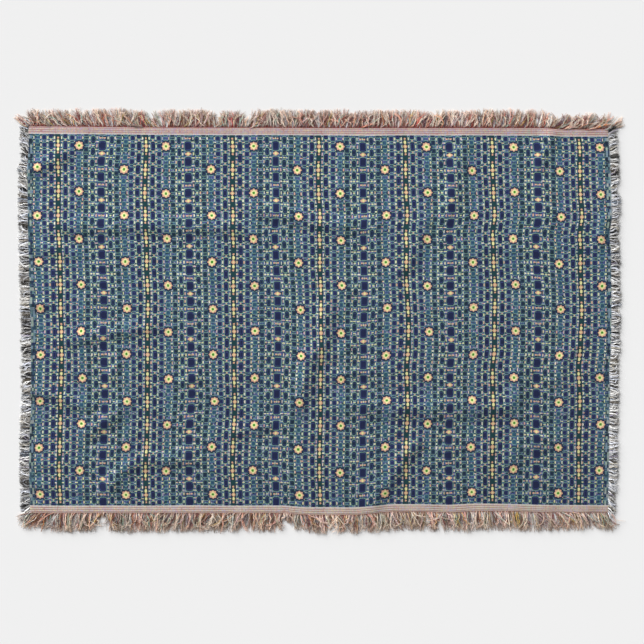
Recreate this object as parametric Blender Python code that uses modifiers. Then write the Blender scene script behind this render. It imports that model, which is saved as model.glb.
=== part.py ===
"""A woven throw blanket with fringe on all four sides, laid out flat with soft creases.

Metres, +Z up. The long side runs along X, the blanket lies on Z = 0 and is centred there.
The cloth is one woven sheet, its two plain headings included. The warp yarns lie free as
fringe past the top and bottom edges, and the weft yarns past the left and right edges. Each
fringe is a row of yarn locks on a narrow strip that stands just outside the woven edge.
"""

import math
import random
from collections import namedtuple

import bmesh
import bpy
from mathutils import Vector

# Driving dimensions
CLOTH_LENGTH = 1.310
CLOTH_WIDTH = 0.874
CLOTH_THICKNESS = 0.002
WARP_FRINGE = 0.041
WEFT_FRINGE = 0.0235
PIECE_GAP = 0.0003

# An amount that changes along an edge, given at places measured from the edge's middle
Mark = namedtuple("Mark", "along amount")

# The woven edges are a little out of true: how far each stands beyond its straight line
TOP_EDGE = (
    Mark(-0.655, 0.001), Mark(-0.300, -0.002), Mark(0.100, -0.003), Mark(0.500, -0.003),
    Mark(0.550, -0.006), Mark(0.655, -0.006),
)
BOTTOM_EDGE = (
    Mark(-0.655, -0.002), Mark(-0.090, -0.002), Mark(-0.020, 0.0025), Mark(0.070, 0.0025),
    Mark(0.180, -0.005), Mark(0.230, -0.005), Mark(0.290, -0.003), Mark(0.360, -0.006),
    Mark(0.410, -0.006), Mark(0.540, -0.003), Mark(0.655, -0.003),
)
LEFT_EDGE = (
    Mark(-0.437, -0.0015), Mark(-0.340, 0.000), Mark(-0.270, -0.001), Mark(-0.180, -0.0045),
    Mark(-0.040, -0.004), Mark(0.050, -0.0015), Mark(0.130, 0.0005), Mark(0.230, 0.003),
    Mark(0.330, 0.0045), Mark(0.400, 0.0015), Mark(0.437, 0.0015),
)
RIGHT_EDGE = (
    Mark(-0.437, -0.003), Mark(-0.260, -0.002), Mark(-0.160, 0.000), Mark(-0.110, -0.0015),
    Mark(-0.065, 0.002), Mark(0.025, 0.0035), Mark(0.160, 0.002), Mark(0.195, -0.001),
    Mark(0.240, 0.0045), Mark(0.295, 0.003), Mark(0.375, 0.000), Mark(0.437, -0.004),
)

# Creases left by folding and handling: soft ridges along a line of points on the cloth. Each
# side of a ridge has its own width, towards the upper left and towards the lower right. Where
# a line runs past an edge, the ridge runs off that edge.
Crease = namedtuple("Crease", "height upper lower line")
CREASES = (
    Crease(0.0064, 0.028, 0.032, ((-0.700, 0.312), (-0.612, 0.355), (-0.550, 0.392))),
    Crease(0.0068, 0.036, 0.028, ((-0.680, 0.212), (-0.500, 0.211), (-0.330, 0.211),
                                  (-0.210, 0.208), (-0.140, 0.194), (-0.090, 0.176))),
    Crease(0.0060, 0.034, 0.026, ((-0.210, 0.262), (-0.160, 0.253), (-0.089, 0.238),
                                  (-0.023, 0.222), (0.050, 0.213), (0.180, 0.208))),
    Crease(0.0058, 0.024, 0.050, ((0.336, 0.440), (0.317, 0.390), (0.304, 0.320),
                                  (0.287, 0.259), (0.262, 0.190))),
    Crease(0.0052, 0.040, 0.026, ((0.252, 0.268), (0.241, 0.235), (0.213, 0.155),
                                  (0.190, 0.116), (0.140, 0.098))),
    Crease(0.0018, 0.024, 0.022, ((0.290, 0.160), (0.400, 0.158), (0.570, 0.158))),
    Crease(0.0062, 0.028, 0.028, ((0.535, 0.440), (0.514, 0.400), (0.496, 0.352), (0.488, 0.320))),
    Crease(0.0034, 0.020, 0.045, ((0.498, 0.350), (0.505, 0.290), (0.503, 0.225), (0.492, 0.180))),
    Crease(0.0046, 0.020, 0.022, ((0.616, 0.145), (0.636, 0.205), (0.655, 0.255))),
    Crease(0.0048, 0.022, 0.022, ((-0.690, 0.164), (-0.592, 0.157), (-0.520, 0.140))),
    Crease(0.0056, 0.020, 0.020, ((-0.690, 0.035), (-0.650, 0.036), (-0.600, 0.033))),
    Crease(0.0064, 0.028, 0.026, ((-0.620, -0.050), (-0.540, -0.041), (-0.488, -0.031),
                                  (-0.400, -0.017), (-0.330, -0.006))),
    Crease(0.0072, 0.024, 0.026, ((-0.700, -0.152), (-0.608, -0.166), (-0.546, -0.188),
                                  (-0.490, -0.205))),
    Crease(0.0070, 0.030, 0.036, ((-0.420, -0.174), (-0.444, -0.194), (-0.486, -0.228),
                                  (-0.555, -0.268))),
    Crease(0.0030, 0.016, 0.020, ((-0.450, -0.060), (-0.456, -0.100), (-0.480, -0.140))),
    Crease(0.0068, 0.026, 0.032, ((-0.500, -0.430), (-0.484, -0.389), (-0.458, -0.353),
                                  (-0.420, -0.322), (-0.371, -0.312), (-0.290, -0.312),
                                  (-0.230, -0.315))),
    Crease(0.0072, 0.032, 0.038, ((0.030, 0.105), (0.018, 0.040), (0.012, -0.030),
                                  (0.000, -0.064), (-0.028, -0.092), (-0.038, -0.135),
                                  (-0.050, -0.180), (-0.064, -0.225), (-0.074, -0.265))),
    Crease(0.0034, 0.016, 0.018, ((0.012, 0.048), (0.050, 0.064), (0.095, 0.066))),
    Crease(0.0034, 0.018, 0.018, ((-0.012, -0.086), (0.026, -0.082), (0.058, -0.062),
                                  (0.092, -0.054))),
    Crease(0.0030, 0.020, 0.022, ((0.010, -0.128), (0.100, -0.116), (0.190, -0.112))),
    Crease(0.0074, 0.034, 0.040, ((-0.020, -0.183), (0.060, -0.194), (0.170, -0.197),
                                  (0.300, -0.197), (0.395, -0.196), (0.432, -0.184),
                                  (0.447, -0.150), (0.452, -0.110), (0.462, -0.070),
                                  (0.474, -0.030))),
    Crease(0.0024, 0.020, 0.020, ((0.400, -0.206), (0.480, -0.208), (0.590, -0.208))),
    Crease(0.0034, 0.024, 0.026, ((0.600, -0.045), (0.575, -0.060), (0.545, -0.095),
                                  (0.525, -0.165))),
    Crease(0.0068, 0.032, 0.030, ((0.106, -0.445), (0.145, -0.374), (0.192, -0.308),
                                  (0.250, -0.246))),
    Crease(0.0036, 0.024, 0.045, ((0.400, -0.356), (0.435, -0.298), (0.475, -0.268),
                                  (0.560, -0.266))),
    Crease(0.0032, 0.020, 0.034, ((0.388, -0.245), (0.372, -0.300), (0.362, -0.350),
                                  (0.360, -0.415))),
    Crease(0.0052, 0.034, 0.022, ((-0.215, -0.258), (-0.150, -0.246), (-0.095, -0.233))),
    Crease(0.0036, 0.020, 0.018, ((-0.345, -0.144), (-0.310, -0.138), (-0.255, -0.126))),
    Crease(0.0026, 0.020, 0.018, ((-0.690, -0.318), (-0.610, -0.322), (-0.540, -0.332))),
    Crease(0.0036, 0.020, 0.020, ((-0.690, -0.366), (-0.607, -0.374), (-0.490, -0.388))),
)
CREASE_STEPS = 4          # straight pieces of a ridge line between two of its points
CREASE_FADE = 0.24        # share of a ridge's length over which each end sinks away
LOWER_SIDE = Vector((0.6, -0.8))
RIPPLE = 0.12             # unevenness of a ridge's height along its length
RIPPLE_LENGTH = 0.085
RIPPLE_SHIFT = 50.0       # radians of shift for each metre of a ridge, so that none match

# Mesh of the cloth: an even grid, thinned where the cloth is flat
GRID_STEP = 0.010
KEPT_SHARE = 0.145

# How the fringes lie: sideways run of a lock for each unit outwards, towards +X or +Y
TOP_LEAN = (
    Mark(-0.655, -0.90), Mark(-0.505, -0.65), Mark(-0.460, -0.05), Mark(0.000, 0.10),
    Mark(0.400, 0.20), Mark(0.500, 0.40), Mark(0.550, 0.90), Mark(0.655, 1.05),
)
BOTTOM_LEAN = (
    Mark(-0.655, -0.95), Mark(-0.580, -0.55), Mark(-0.200, -0.35), Mark(-0.060, 0.00),
    Mark(0.420, 0.10), Mark(0.560, 0.55), Mark(0.655, 0.85),
)
LEFT_LEAN = (
    Mark(-0.437, -0.60), Mark(-0.390, 0.00), Mark(0.200, 0.05), Mark(0.300, 0.45),
    Mark(0.437, 0.85),
)
RIGHT_LEAN = (
    Mark(-0.437, -0.95), Mark(-0.360, -0.45), Mark(-0.250, 0.00), Mark(0.370, 0.05),
    Mark(0.437, 0.75),
)

# Places where the fringe is parted or lies shorter, with how much of its length is missing
Parting = namedtuple("Parting", "along half_width depth")
TOP_PARTINGS = (
    Parting(-0.366, 0.014, 0.55), Parting(-0.229, 0.016, 0.55), Parting(-0.196, 0.030, 0.16),
    Parting(-0.169, 0.012, 0.55), Parting(0.075, 0.014, 0.25), Parting(0.240, 0.020, 0.28),
    Parting(0.535, 0.030, 0.36), Parting(0.600, 0.060, 0.26),
)
BOTTOM_PARTINGS = (
    Parting(-0.488, 0.014, 0.50), Parting(-0.180, 0.040, 0.12), Parting(-0.071, 0.034, 0.50),
    Parting(0.022, 0.014, 0.50), Parting(0.096, 0.012, 0.30), Parting(0.215, 0.014, 0.25),
    Parting(0.594, 0.014, 0.35),
)
LEFT_PARTINGS = (Parting(0.358, 0.016, 0.45),)
RIGHT_PARTINGS = (Parting(-0.430, 0.012, 0.15), Parting(0.310, 0.014, 0.30))

# Locks of yarn
Fringe = namedtuple("Fringe", "name side locks length lean partings")
FRINGES = (
    Fringe("fringe_top", "top", 88, WARP_FRINGE, TOP_LEAN, TOP_PARTINGS),
    Fringe("fringe_bottom", "bottom", 88, WARP_FRINGE, BOTTOM_LEAN, BOTTOM_PARTINGS),
    Fringe("fringe_left", "left", 58, WEFT_FRINGE, LEFT_LEAN, LEFT_PARTINGS),
    Fringe("fringe_right", "right", 58, WEFT_FRINGE, RIGHT_LEAN, RIGHT_PARTINGS),
)
STRIP_WIDTH = 0.003
LockSection = namedtuple("LockSection", "reach width sway thickness")
LOCK_SECTIONS = (
    LockSection(0.55, 0.80, 0.4, 0.0026),
    LockSection(1.00, 0.45, 1.0, 0.0014),
)
LENGTH_SPREAD = 0.10      # how much locks differ in length, as a share of it
SIDE_SWAY = 0.0022        # how far a lock's tip strays sideways
SEED = 54

COLOURS = {
    "cloth": (0.050, 0.105, 0.215, 1.0),
    "fringe_top": (0.400, 0.235, 0.165, 1.0),
    "fringe_bottom": (0.420, 0.270, 0.200, 1.0),
    "fringe_left": (0.420, 0.430, 0.430, 1.0),
    "fringe_right": (0.420, 0.430, 0.430, 1.0),
}
COTTON_ROUGHNESS = 0.92


def ease(share):
    """Run smoothly from 0 to 1 as the share does."""
    share = min(max(share, 0.0), 1.0)
    return share * share * (3.0 - 2.0 * share)


def read_marks(marks, along):
    """Read an amount at one place along an edge."""
    for start, end in zip(marks, marks[1:]):
        if along <= end.along:
            share = ease((along - start.along) / (end.along - start.along))
            return start.amount + (end.amount - start.amount) * share
    return marks[-1].amount


def plan(u, v):
    """Place a point of the cloth on the floor; u and v run from -1 to 1 along X and Y."""
    x = u * CLOTH_LENGTH / 2
    y = v * CLOTH_WIDTH / 2
    right_share = (1 + u) / 2
    top_share = (1 + v) / 2
    shift_x = read_marks(RIGHT_EDGE, y) * right_share
    shift_x -= read_marks(LEFT_EDGE, y) * (1 - right_share)
    shift_y = read_marks(TOP_EDGE, x) * top_share
    shift_y -= read_marks(BOTTOM_EDGE, x) * (1 - top_share)
    return Vector((x + shift_x, y + shift_y))


def smooth_line(points):
    """Draw a smooth curve through the points and return places along it."""
    points = [Vector(point) for point in points]
    before = points[0] * 2 - points[1]
    after = points[-1] * 2 - points[-2]
    padded = [before] + points + [after]
    line = []
    for index in range(1, len(padded) - 2):
        a, b, c, d = padded[index - 1:index + 3]
        for step in range(CREASE_STEPS):
            t = step / CREASE_STEPS
            line.append(0.5 * (2 * b + (c - a) * t + (2 * a - 5 * b + 4 * c - d) * t ** 2
                               + (3 * b - a - 3 * c + d) * t ** 3))
    line.append(points[-1])
    return line


class Ridge:
    """One crease, ready to say how high it lifts the cloth at a place."""

    def __init__(self, crease):
        self.height = crease.height
        self.upper = crease.upper
        self.lower = crease.lower
        line = smooth_line(crease.line)
        self.pieces = []
        travelled = 0.0
        for start, end in zip(line, line[1:]):
            self.pieces.append((start, end, travelled))
            travelled += (end - start).length
        self.length = travelled
        reach = max(self.upper, self.lower)
        self.low = Vector((min(p.x for p in line) - reach, min(p.y for p in line) - reach))
        self.high = Vector((max(p.x for p in line) + reach, max(p.y for p in line) + reach))

    def nearest(self, place):
        """Find the offset from the ridge line and the distance along it."""
        best = None
        for start, end, travelled in self.pieces:
            run = end - start
            share = min(max((place - start).dot(run) / run.length_squared, 0.0), 1.0)
            offset = place - (start + run * share)
            if best is None or offset.length < best[0].length:
                best = (offset, travelled + run.length * share)
        return best

    def lift(self, place):
        """Say how high the ridge lifts the cloth at a place."""
        if not (self.low.x < place.x < self.high.x and self.low.y < place.y < self.high.y):
            return 0.0
        offset, along = self.nearest(place)
        distance = offset.length
        facing = offset.dot(LOWER_SIDE) / distance if distance > 0 else 0.0
        half_width = self.upper + (self.lower - self.upper) * (1 + facing) / 2
        if distance >= half_width:
            return 0.0
        across = math.cos(math.pi / 2 * distance / half_width) ** 2
        fade = self.length * CREASE_FADE
        ends = ease(along / fade) * ease((self.length - along) / fade)
        wave = 2 * math.pi * along / RIPPLE_LENGTH + RIPPLE_SHIFT * self.length
        uneven = 1 + RIPPLE * math.sin(wave)
        return self.height * across * ends * uneven


RIDGES = [Ridge(crease) for crease in CREASES]


def crease_height(place):
    """Height of the cloth's underside above the floor."""
    return math.sqrt(sum(ridge.lift(place) ** 2 for ridge in RIDGES))


def make_material(name):
    """Make a cotton material in the piece's own colour."""
    material = bpy.data.materials.new(name)
    material.use_nodes = True
    shader = material.node_tree.nodes["Principled BSDF"]
    shader.inputs["Base Color"].default_value = COLOURS[name]
    shader.inputs["Roughness"].default_value = COTTON_ROUGHNESS
    shader.inputs["Metallic"].default_value = 0.0
    return material


def add_piece(name, shape, collection, parent):
    """Turn a bmesh into a named object with its own material."""
    mesh = bpy.data.meshes.new(name)
    shape.to_mesh(mesh)
    shape.free()
    mesh.materials.append(make_material(name))
    piece = bpy.data.objects.new(name, mesh)
    collection.objects.link(piece)
    piece.parent = parent
    return piece


def thin_out(grid, rim):
    """Merge the small faces where the cloth is flat, and keep every point of its rim."""
    inside = grid.vertex_groups.new(name="inside")
    inside.add([vert.index for vert in grid.data.vertices if vert.index not in rim], 1.0, "ADD")
    merge = grid.modifiers.new("merge flat places", "DECIMATE")
    merge.ratio = KEPT_SHARE
    merge.vertex_group = inside.name
    graph = bpy.context.evaluated_depsgraph_get()
    thinned = bpy.data.meshes.new_from_object(grid.evaluated_get(graph))
    grid.modifiers.remove(merge)
    grid.vertex_groups.remove(inside)
    for vert in thinned.vertices:
        vert.co.z = max(vert.co.z, CLOTH_THICKNESS)
    old = grid.data
    grid.data = thinned
    bpy.data.meshes.remove(old)
    thinned.name = grid.name


def build_cloth(collection, parent):
    """Build the woven sheet: a creased grid, thinned where it is flat, then thickened."""
    columns = round(CLOTH_LENGTH / GRID_STEP)
    rows = round(CLOTH_WIDTH / GRID_STEP)
    shape = bmesh.new()
    bmesh.ops.create_grid(shape, x_segments=columns, y_segments=rows, size=1.0)
    rim = {vert.index for vert in shape.verts if vert.is_boundary}
    for vert in shape.verts:
        place = plan(vert.co.x, vert.co.y)
        vert.co = (place.x, place.y, crease_height(place) + CLOTH_THICKNESS)
    cloth = add_piece("cloth", shape, collection, parent)
    thin_out(cloth, rim)
    thicken = cloth.modifiers.new("thickness", "SOLIDIFY")
    thicken.thickness = CLOTH_THICKNESS
    thicken.offset = -1.0
    return cloth


def edge_place(side, share):
    """Give a place on a woven edge, at -1 to 1 along it, and its outward direction."""
    if side == "top":
        return plan(share, 1), Vector((0, 1))
    if side == "bottom":
        return plan(share, -1), Vector((0, -1))
    if side == "left":
        return plan(-1, share), Vector((-1, 0))
    return plan(1, share), Vector((1, 0))


def lay_along_edge(fringe, half_length, local):
    """Bring a point of a straight fringe (along, outwards, up) to its woven edge.

    A ridge of the cloth that runs off the edge lifts the root of the fringe, and the yarns
    come down to the floor towards their tips.
    """
    share = local.x / half_length
    root, outward = edge_place(fringe.side, share)
    flat = root + outward * (PIECE_GAP + local.y)
    held = edge_place(fringe.side, min(max(share, -1), 1))[0]
    settled = min(local.y / fringe.length, 1.0)
    return Vector((flat.x, flat.y, local.z + crease_height(held) * (1 - settled) ** 2))


def lock_length(fringe, along, chance):
    """Choose how far a lock reaches, shorter at a parting."""
    share = 1 - LENGTH_SPREAD * chance.random()
    for parting in fringe.partings:
        nearness = 1 - abs(along - parting.along) / parting.half_width
        share -= parting.depth * ease(nearness)
    return fringe.length * share - STRIP_WIDTH


def grow_locks(fringe, shape, faces, half_length, chance):
    """Draw each outer face of the strip out into a lock that tapers and leans."""
    half_pitch = half_length / fringe.locks
    middles = [face.calc_center_median().x for face in faces]
    lengths = [lock_length(fringe, middle, chance) for middle in middles]
    sways = [chance.uniform(-SIDE_SWAY, SIDE_SWAY) for middle in middles]
    for section in LOCK_SECTIONS:
        faces = bmesh.ops.extrude_discrete_faces(shape, faces=faces)["faces"]
        faces.sort(key=lambda face: face.calc_center_median().x)
        for face, middle, length, sway in zip(faces, middles, lengths, sways):
            run = length * section.reach
            aside = read_marks(fringe.lean, middle) * run + sway * section.sway
            centre = face.calc_center_median()
            for vert in face.verts:
                half_width = math.copysign(half_pitch * section.width, vert.co.x - centre.x)
                height = section.thickness if vert.co.z > centre.z else 0.0
                vert.co = (middle + aside + half_width, STRIP_WIDTH + run, height)


def build_fringe(fringe, collection, parent, chance):
    """Build a strip along a woven edge with a row of locks on its outer side."""
    edge_length = CLOTH_LENGTH if fringe.side in ("top", "bottom") else CLOTH_WIDTH
    half_length = edge_length / 2
    shape = bmesh.new()
    bmesh.ops.create_grid(shape, x_segments=fringe.locks, y_segments=1, size=1.0)
    for vert in shape.verts:
        vert.co.x *= half_length
        vert.co.y = STRIP_WIDTH if vert.co.y > 0 else 0.0
    raised = bmesh.ops.extrude_face_region(shape, geom=shape.faces[:])["geom"]
    for item in raised:
        if isinstance(item, bmesh.types.BMVert):
            item.co.z = CLOTH_THICKNESS
    outer_faces = [face for face in shape.faces if all(vert.co.y > 0 for vert in face.verts)]
    outer_faces.sort(key=lambda face: face.calc_center_median().x)
    grow_locks(fringe, shape, outer_faces, half_length, chance)
    for vert in shape.verts:
        vert.co = lay_along_edge(fringe, half_length, vert.co)
    bmesh.ops.recalc_face_normals(shape, faces=shape.faces[:])
    return add_piece(fringe.name, shape, collection, parent)


def centre_on_floor(parent, pieces):
    """Move the blanket so that the middle of its outline is over the origin."""
    bpy.context.view_layer.update()
    graph = bpy.context.evaluated_depsgraph_get()
    places = []
    for piece in pieces:
        seen = piece.evaluated_get(graph)
        places += [seen.matrix_world @ vert.co for vert in seen.data.vertices]
    parent.location.x = -(min(p.x for p in places) + max(p.x for p in places)) / 2
    parent.location.y = -(min(p.y for p in places) + max(p.y for p in places)) / 2
    bpy.context.view_layer.update()


def main():
    for old in list(bpy.data.objects):
        bpy.data.objects.remove(old, do_unlink=True)
    collection = bpy.data.collections.new("blanket")
    bpy.context.scene.collection.children.link(collection)
    parent = bpy.data.objects.new("blanket_centre", None)
    collection.objects.link(parent)
    chance = random.Random(SEED)
    pieces = [build_cloth(collection, parent)]
    pieces += [build_fringe(fringe, collection, parent, chance) for fringe in FRINGES]
    centre_on_floor(parent, pieces)


main()
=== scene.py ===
"""A woven throw blanket, laid out flat, with loose yarn fringe on all four sides.

The cloth is one woven sheet: a mosaic field of small tiles, stars and beaded stripes between
two plain headings. Warp yarns of many colours hang free past the headings, and pale and dark
weft yarns past the side edges. Metres, +Z up, the long side along X.
"""

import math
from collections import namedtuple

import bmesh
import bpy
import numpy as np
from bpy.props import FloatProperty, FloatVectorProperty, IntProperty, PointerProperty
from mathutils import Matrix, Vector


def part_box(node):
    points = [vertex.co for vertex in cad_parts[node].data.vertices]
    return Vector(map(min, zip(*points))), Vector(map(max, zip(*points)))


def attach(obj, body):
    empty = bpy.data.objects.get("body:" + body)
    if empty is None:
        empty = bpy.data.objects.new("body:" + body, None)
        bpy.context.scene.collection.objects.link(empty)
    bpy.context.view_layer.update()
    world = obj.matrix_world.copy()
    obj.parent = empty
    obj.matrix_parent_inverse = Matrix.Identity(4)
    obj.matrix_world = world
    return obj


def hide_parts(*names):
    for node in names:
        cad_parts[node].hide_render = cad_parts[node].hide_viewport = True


bl_info = {
    "name": "Woven Throw Blanket",
    "version": (1, 0, 0),
    "blender": (4, 5, 0),
    "location": "3D View > Sidebar > Throw",
    "description": "Builds a woven throw with a mosaic field, plain headings and yarn fringe",
    "category": "Add Mesh",
}

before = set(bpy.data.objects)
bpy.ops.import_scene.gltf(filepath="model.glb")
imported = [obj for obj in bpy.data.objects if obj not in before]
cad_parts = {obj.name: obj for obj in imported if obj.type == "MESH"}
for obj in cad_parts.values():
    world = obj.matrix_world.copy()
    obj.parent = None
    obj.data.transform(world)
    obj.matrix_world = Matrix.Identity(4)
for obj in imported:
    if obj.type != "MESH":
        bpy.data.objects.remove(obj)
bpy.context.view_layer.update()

# The sheet as it was woven, in metres
CLOTH_LENGTH = 1.310
CLOTH_WIDTH = 0.874
CLOTH_THICKNESS = 0.002
HEADING_WIDTH = 0.0175

# An amount that changes along an edge, given at places measured from the edge's middle
Mark = namedtuple("Mark", "along amount")

# The woven edges are a little out of true: how far each stands beyond its straight line
TOP_EDGE = (
    Mark(-0.655, 0.001), Mark(-0.300, -0.002), Mark(0.100, -0.003), Mark(0.500, -0.003),
    Mark(0.550, -0.006), Mark(0.655, -0.006),
)
BOTTOM_EDGE = (
    Mark(-0.655, -0.002), Mark(-0.090, -0.002), Mark(-0.020, 0.0025), Mark(0.070, 0.0025),
    Mark(0.180, -0.005), Mark(0.230, -0.005), Mark(0.290, -0.003), Mark(0.360, -0.006),
    Mark(0.410, -0.006), Mark(0.540, -0.003), Mark(0.655, -0.003),
)
LEFT_EDGE = (
    Mark(-0.437, -0.0015), Mark(-0.340, 0.000), Mark(-0.270, -0.001), Mark(-0.180, -0.0045),
    Mark(-0.040, -0.004), Mark(0.050, -0.0015), Mark(0.130, 0.0005), Mark(0.230, 0.003),
    Mark(0.330, 0.0045), Mark(0.400, 0.0015), Mark(0.437, 0.0015),
)
RIGHT_EDGE = (
    Mark(-0.437, -0.003), Mark(-0.260, -0.002), Mark(-0.160, 0.000), Mark(-0.110, -0.0015),
    Mark(-0.065, 0.002), Mark(0.025, 0.0035), Mark(0.160, 0.002), Mark(0.195, -0.001),
    Mark(0.240, 0.0045), Mark(0.295, 0.003), Mark(0.375, 0.000), Mark(0.437, -0.004),
)

# Creases left by folding and handling: soft ridges along a line of points on the cloth. Each
# side of a ridge has its own width, towards the upper left and towards the lower right. Where
# a line runs past an edge, the ridge runs off that edge.
Crease = namedtuple("Crease", "height upper lower line")
CREASES = (
    Crease(0.0064, 0.028, 0.032, ((-0.700, 0.312), (-0.612, 0.355), (-0.550, 0.392))),
    Crease(0.0068, 0.036, 0.028, ((-0.680, 0.212), (-0.500, 0.211), (-0.330, 0.211),
                                  (-0.210, 0.208), (-0.140, 0.194), (-0.090, 0.176))),
    Crease(0.0060, 0.034, 0.026, ((-0.210, 0.262), (-0.160, 0.253), (-0.089, 0.238),
                                  (-0.023, 0.222), (0.050, 0.213), (0.180, 0.208))),
    Crease(0.0058, 0.024, 0.050, ((0.336, 0.440), (0.317, 0.390), (0.304, 0.320),
                                  (0.287, 0.259), (0.262, 0.190))),
    Crease(0.0052, 0.040, 0.026, ((0.252, 0.268), (0.241, 0.235), (0.213, 0.155),
                                  (0.190, 0.116), (0.140, 0.098))),
    Crease(0.0018, 0.024, 0.022, ((0.290, 0.160), (0.400, 0.158), (0.570, 0.158))),
    Crease(0.0062, 0.028, 0.028, ((0.535, 0.440), (0.514, 0.400), (0.496, 0.352), (0.488, 0.320))),
    Crease(0.0034, 0.020, 0.045, ((0.498, 0.350), (0.505, 0.290), (0.503, 0.225), (0.492, 0.180))),
    Crease(0.0046, 0.020, 0.022, ((0.616, 0.145), (0.636, 0.205), (0.655, 0.255))),
    Crease(0.0048, 0.022, 0.022, ((-0.690, 0.164), (-0.592, 0.157), (-0.520, 0.140))),
    Crease(0.0056, 0.020, 0.020, ((-0.690, 0.035), (-0.650, 0.036), (-0.600, 0.033))),
    Crease(0.0064, 0.028, 0.026, ((-0.620, -0.050), (-0.540, -0.041), (-0.488, -0.031),
                                  (-0.400, -0.017), (-0.330, -0.006))),
    Crease(0.0072, 0.024, 0.026, ((-0.700, -0.152), (-0.608, -0.166), (-0.546, -0.188),
                                  (-0.490, -0.205))),
    Crease(0.0070, 0.030, 0.036, ((-0.420, -0.174), (-0.444, -0.194), (-0.486, -0.228),
                                  (-0.555, -0.268))),
    Crease(0.0030, 0.016, 0.020, ((-0.450, -0.060), (-0.456, -0.100), (-0.480, -0.140))),
    Crease(0.0068, 0.026, 0.032, ((-0.500, -0.430), (-0.484, -0.389), (-0.458, -0.353),
                                  (-0.420, -0.322), (-0.371, -0.312), (-0.290, -0.312),
                                  (-0.230, -0.315))),
    Crease(0.0072, 0.032, 0.038, ((0.030, 0.105), (0.018, 0.040), (0.012, -0.030),
                                  (0.000, -0.064), (-0.028, -0.092), (-0.038, -0.135),
                                  (-0.050, -0.180), (-0.064, -0.225), (-0.074, -0.265))),
    Crease(0.0034, 0.016, 0.018, ((0.012, 0.048), (0.050, 0.064), (0.095, 0.066))),
    Crease(0.0034, 0.018, 0.018, ((-0.012, -0.086), (0.026, -0.082), (0.058, -0.062),
                                  (0.092, -0.054))),
    Crease(0.0030, 0.020, 0.022, ((0.010, -0.128), (0.100, -0.116), (0.190, -0.112))),
    Crease(0.0074, 0.034, 0.040, ((-0.020, -0.183), (0.060, -0.194), (0.170, -0.197),
                                  (0.300, -0.197), (0.395, -0.196), (0.432, -0.184),
                                  (0.447, -0.150), (0.452, -0.110), (0.462, -0.070),
                                  (0.474, -0.030))),
    Crease(0.0024, 0.020, 0.020, ((0.400, -0.206), (0.480, -0.208), (0.590, -0.208))),
    Crease(0.0034, 0.024, 0.026, ((0.600, -0.045), (0.575, -0.060), (0.545, -0.095),
                                  (0.525, -0.165))),
    Crease(0.0068, 0.032, 0.030, ((0.106, -0.445), (0.145, -0.374), (0.192, -0.308),
                                  (0.250, -0.246))),
    Crease(0.0036, 0.024, 0.045, ((0.400, -0.356), (0.435, -0.298), (0.475, -0.268),
                                  (0.560, -0.266))),
    Crease(0.0032, 0.020, 0.034, ((0.388, -0.245), (0.372, -0.300), (0.362, -0.350),
                                  (0.360, -0.415))),
    Crease(0.0052, 0.034, 0.022, ((-0.215, -0.258), (-0.150, -0.246), (-0.095, -0.233))),
    Crease(0.0036, 0.020, 0.018, ((-0.345, -0.144), (-0.310, -0.138), (-0.255, -0.126))),
    Crease(0.0026, 0.020, 0.018, ((-0.690, -0.318), (-0.610, -0.322), (-0.540, -0.332))),
    Crease(0.0036, 0.020, 0.020, ((-0.690, -0.366), (-0.607, -0.374), (-0.490, -0.388))),
)
CREASE_STEPS = 4          # straight pieces of a ridge line between two of its points
CREASE_FADE = 0.24        # share of a ridge's length over which each end sinks away
LOWER_SIDE = np.array((0.6, -0.8))
RIPPLE = 0.12             # unevenness of a ridge's height along its length
RIPPLE_LENGTH = 0.085
RIPPLE_SHIFT = 50.0       # radians of shift for each metre of a ridge, so that none match

# Slow waves that no maker can avoid: lengths in metres and share of the whole wave
Wave = namedtuple("Wave", "length heading share")
PUCKER_WAVES = (
    Wave(0.093, 0.4, 0.30), Wave(0.061, 1.9, 0.25), Wave(0.124, 2.6, 0.25), Wave(0.041, 0.9, 0.20),
)
WANDER_WAVES = (
    Wave(0.235, 0.3, 0.40), Wave(0.160, 1.2, 0.30), Wave(0.310, 2.2, 0.30),
)

# How the fringes lie: sideways run of a yarn for each unit outwards, towards +X or +Y
TOP_LEAN = (
    Mark(-0.655, -0.85), Mark(-0.620, -0.75), Mark(-0.485, -0.55), Mark(-0.455, -0.10),
    Mark(-0.405, -0.15), Mark(-0.385, -0.55), Mark(-0.362, -0.50), Mark(-0.350, 0.00),
    Mark(-0.236, -0.10), Mark(-0.224, 0.50), Mark(-0.200, 0.10), Mark(-0.174, -0.05),
    Mark(-0.163, 0.55), Mark(-0.120, 0.10), Mark(0.400, 0.20), Mark(0.503, 0.25),
    Mark(0.516, 0.95), Mark(0.560, 1.20), Mark(0.632, 0.95), Mark(0.655, 1.70),
)
BOTTOM_LEAN = (
    Mark(-0.655, -1.40), Mark(-0.635, -0.85), Mark(-0.600, -0.50), Mark(-0.565, -0.20),
    Mark(-0.490, -0.10), Mark(-0.475, 0.05), Mark(-0.385, 0.00), Mark(-0.350, -0.40),
    Mark(-0.200, -0.35), Mark(-0.120, -0.10), Mark(-0.060, 0.05), Mark(0.420, 0.08),
    Mark(0.520, 0.30), Mark(0.580, 0.45), Mark(0.655, 0.55),
)
LEFT_LEAN = (
    Mark(-0.437, -0.95), Mark(-0.405, -0.45), Mark(-0.380, 0.00), Mark(0.262, 0.05),
    Mark(0.285, 0.65), Mark(0.437, 0.75),
)
RIGHT_LEAN = (
    Mark(-0.437, -0.90), Mark(-0.375, -0.95), Mark(-0.352, -0.10), Mark(0.290, 0.00),
    Mark(0.304, 0.55), Mark(0.322, 0.12), Mark(0.372, 0.15), Mark(0.388, 0.60),
    Mark(0.437, 0.75),
)

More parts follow.
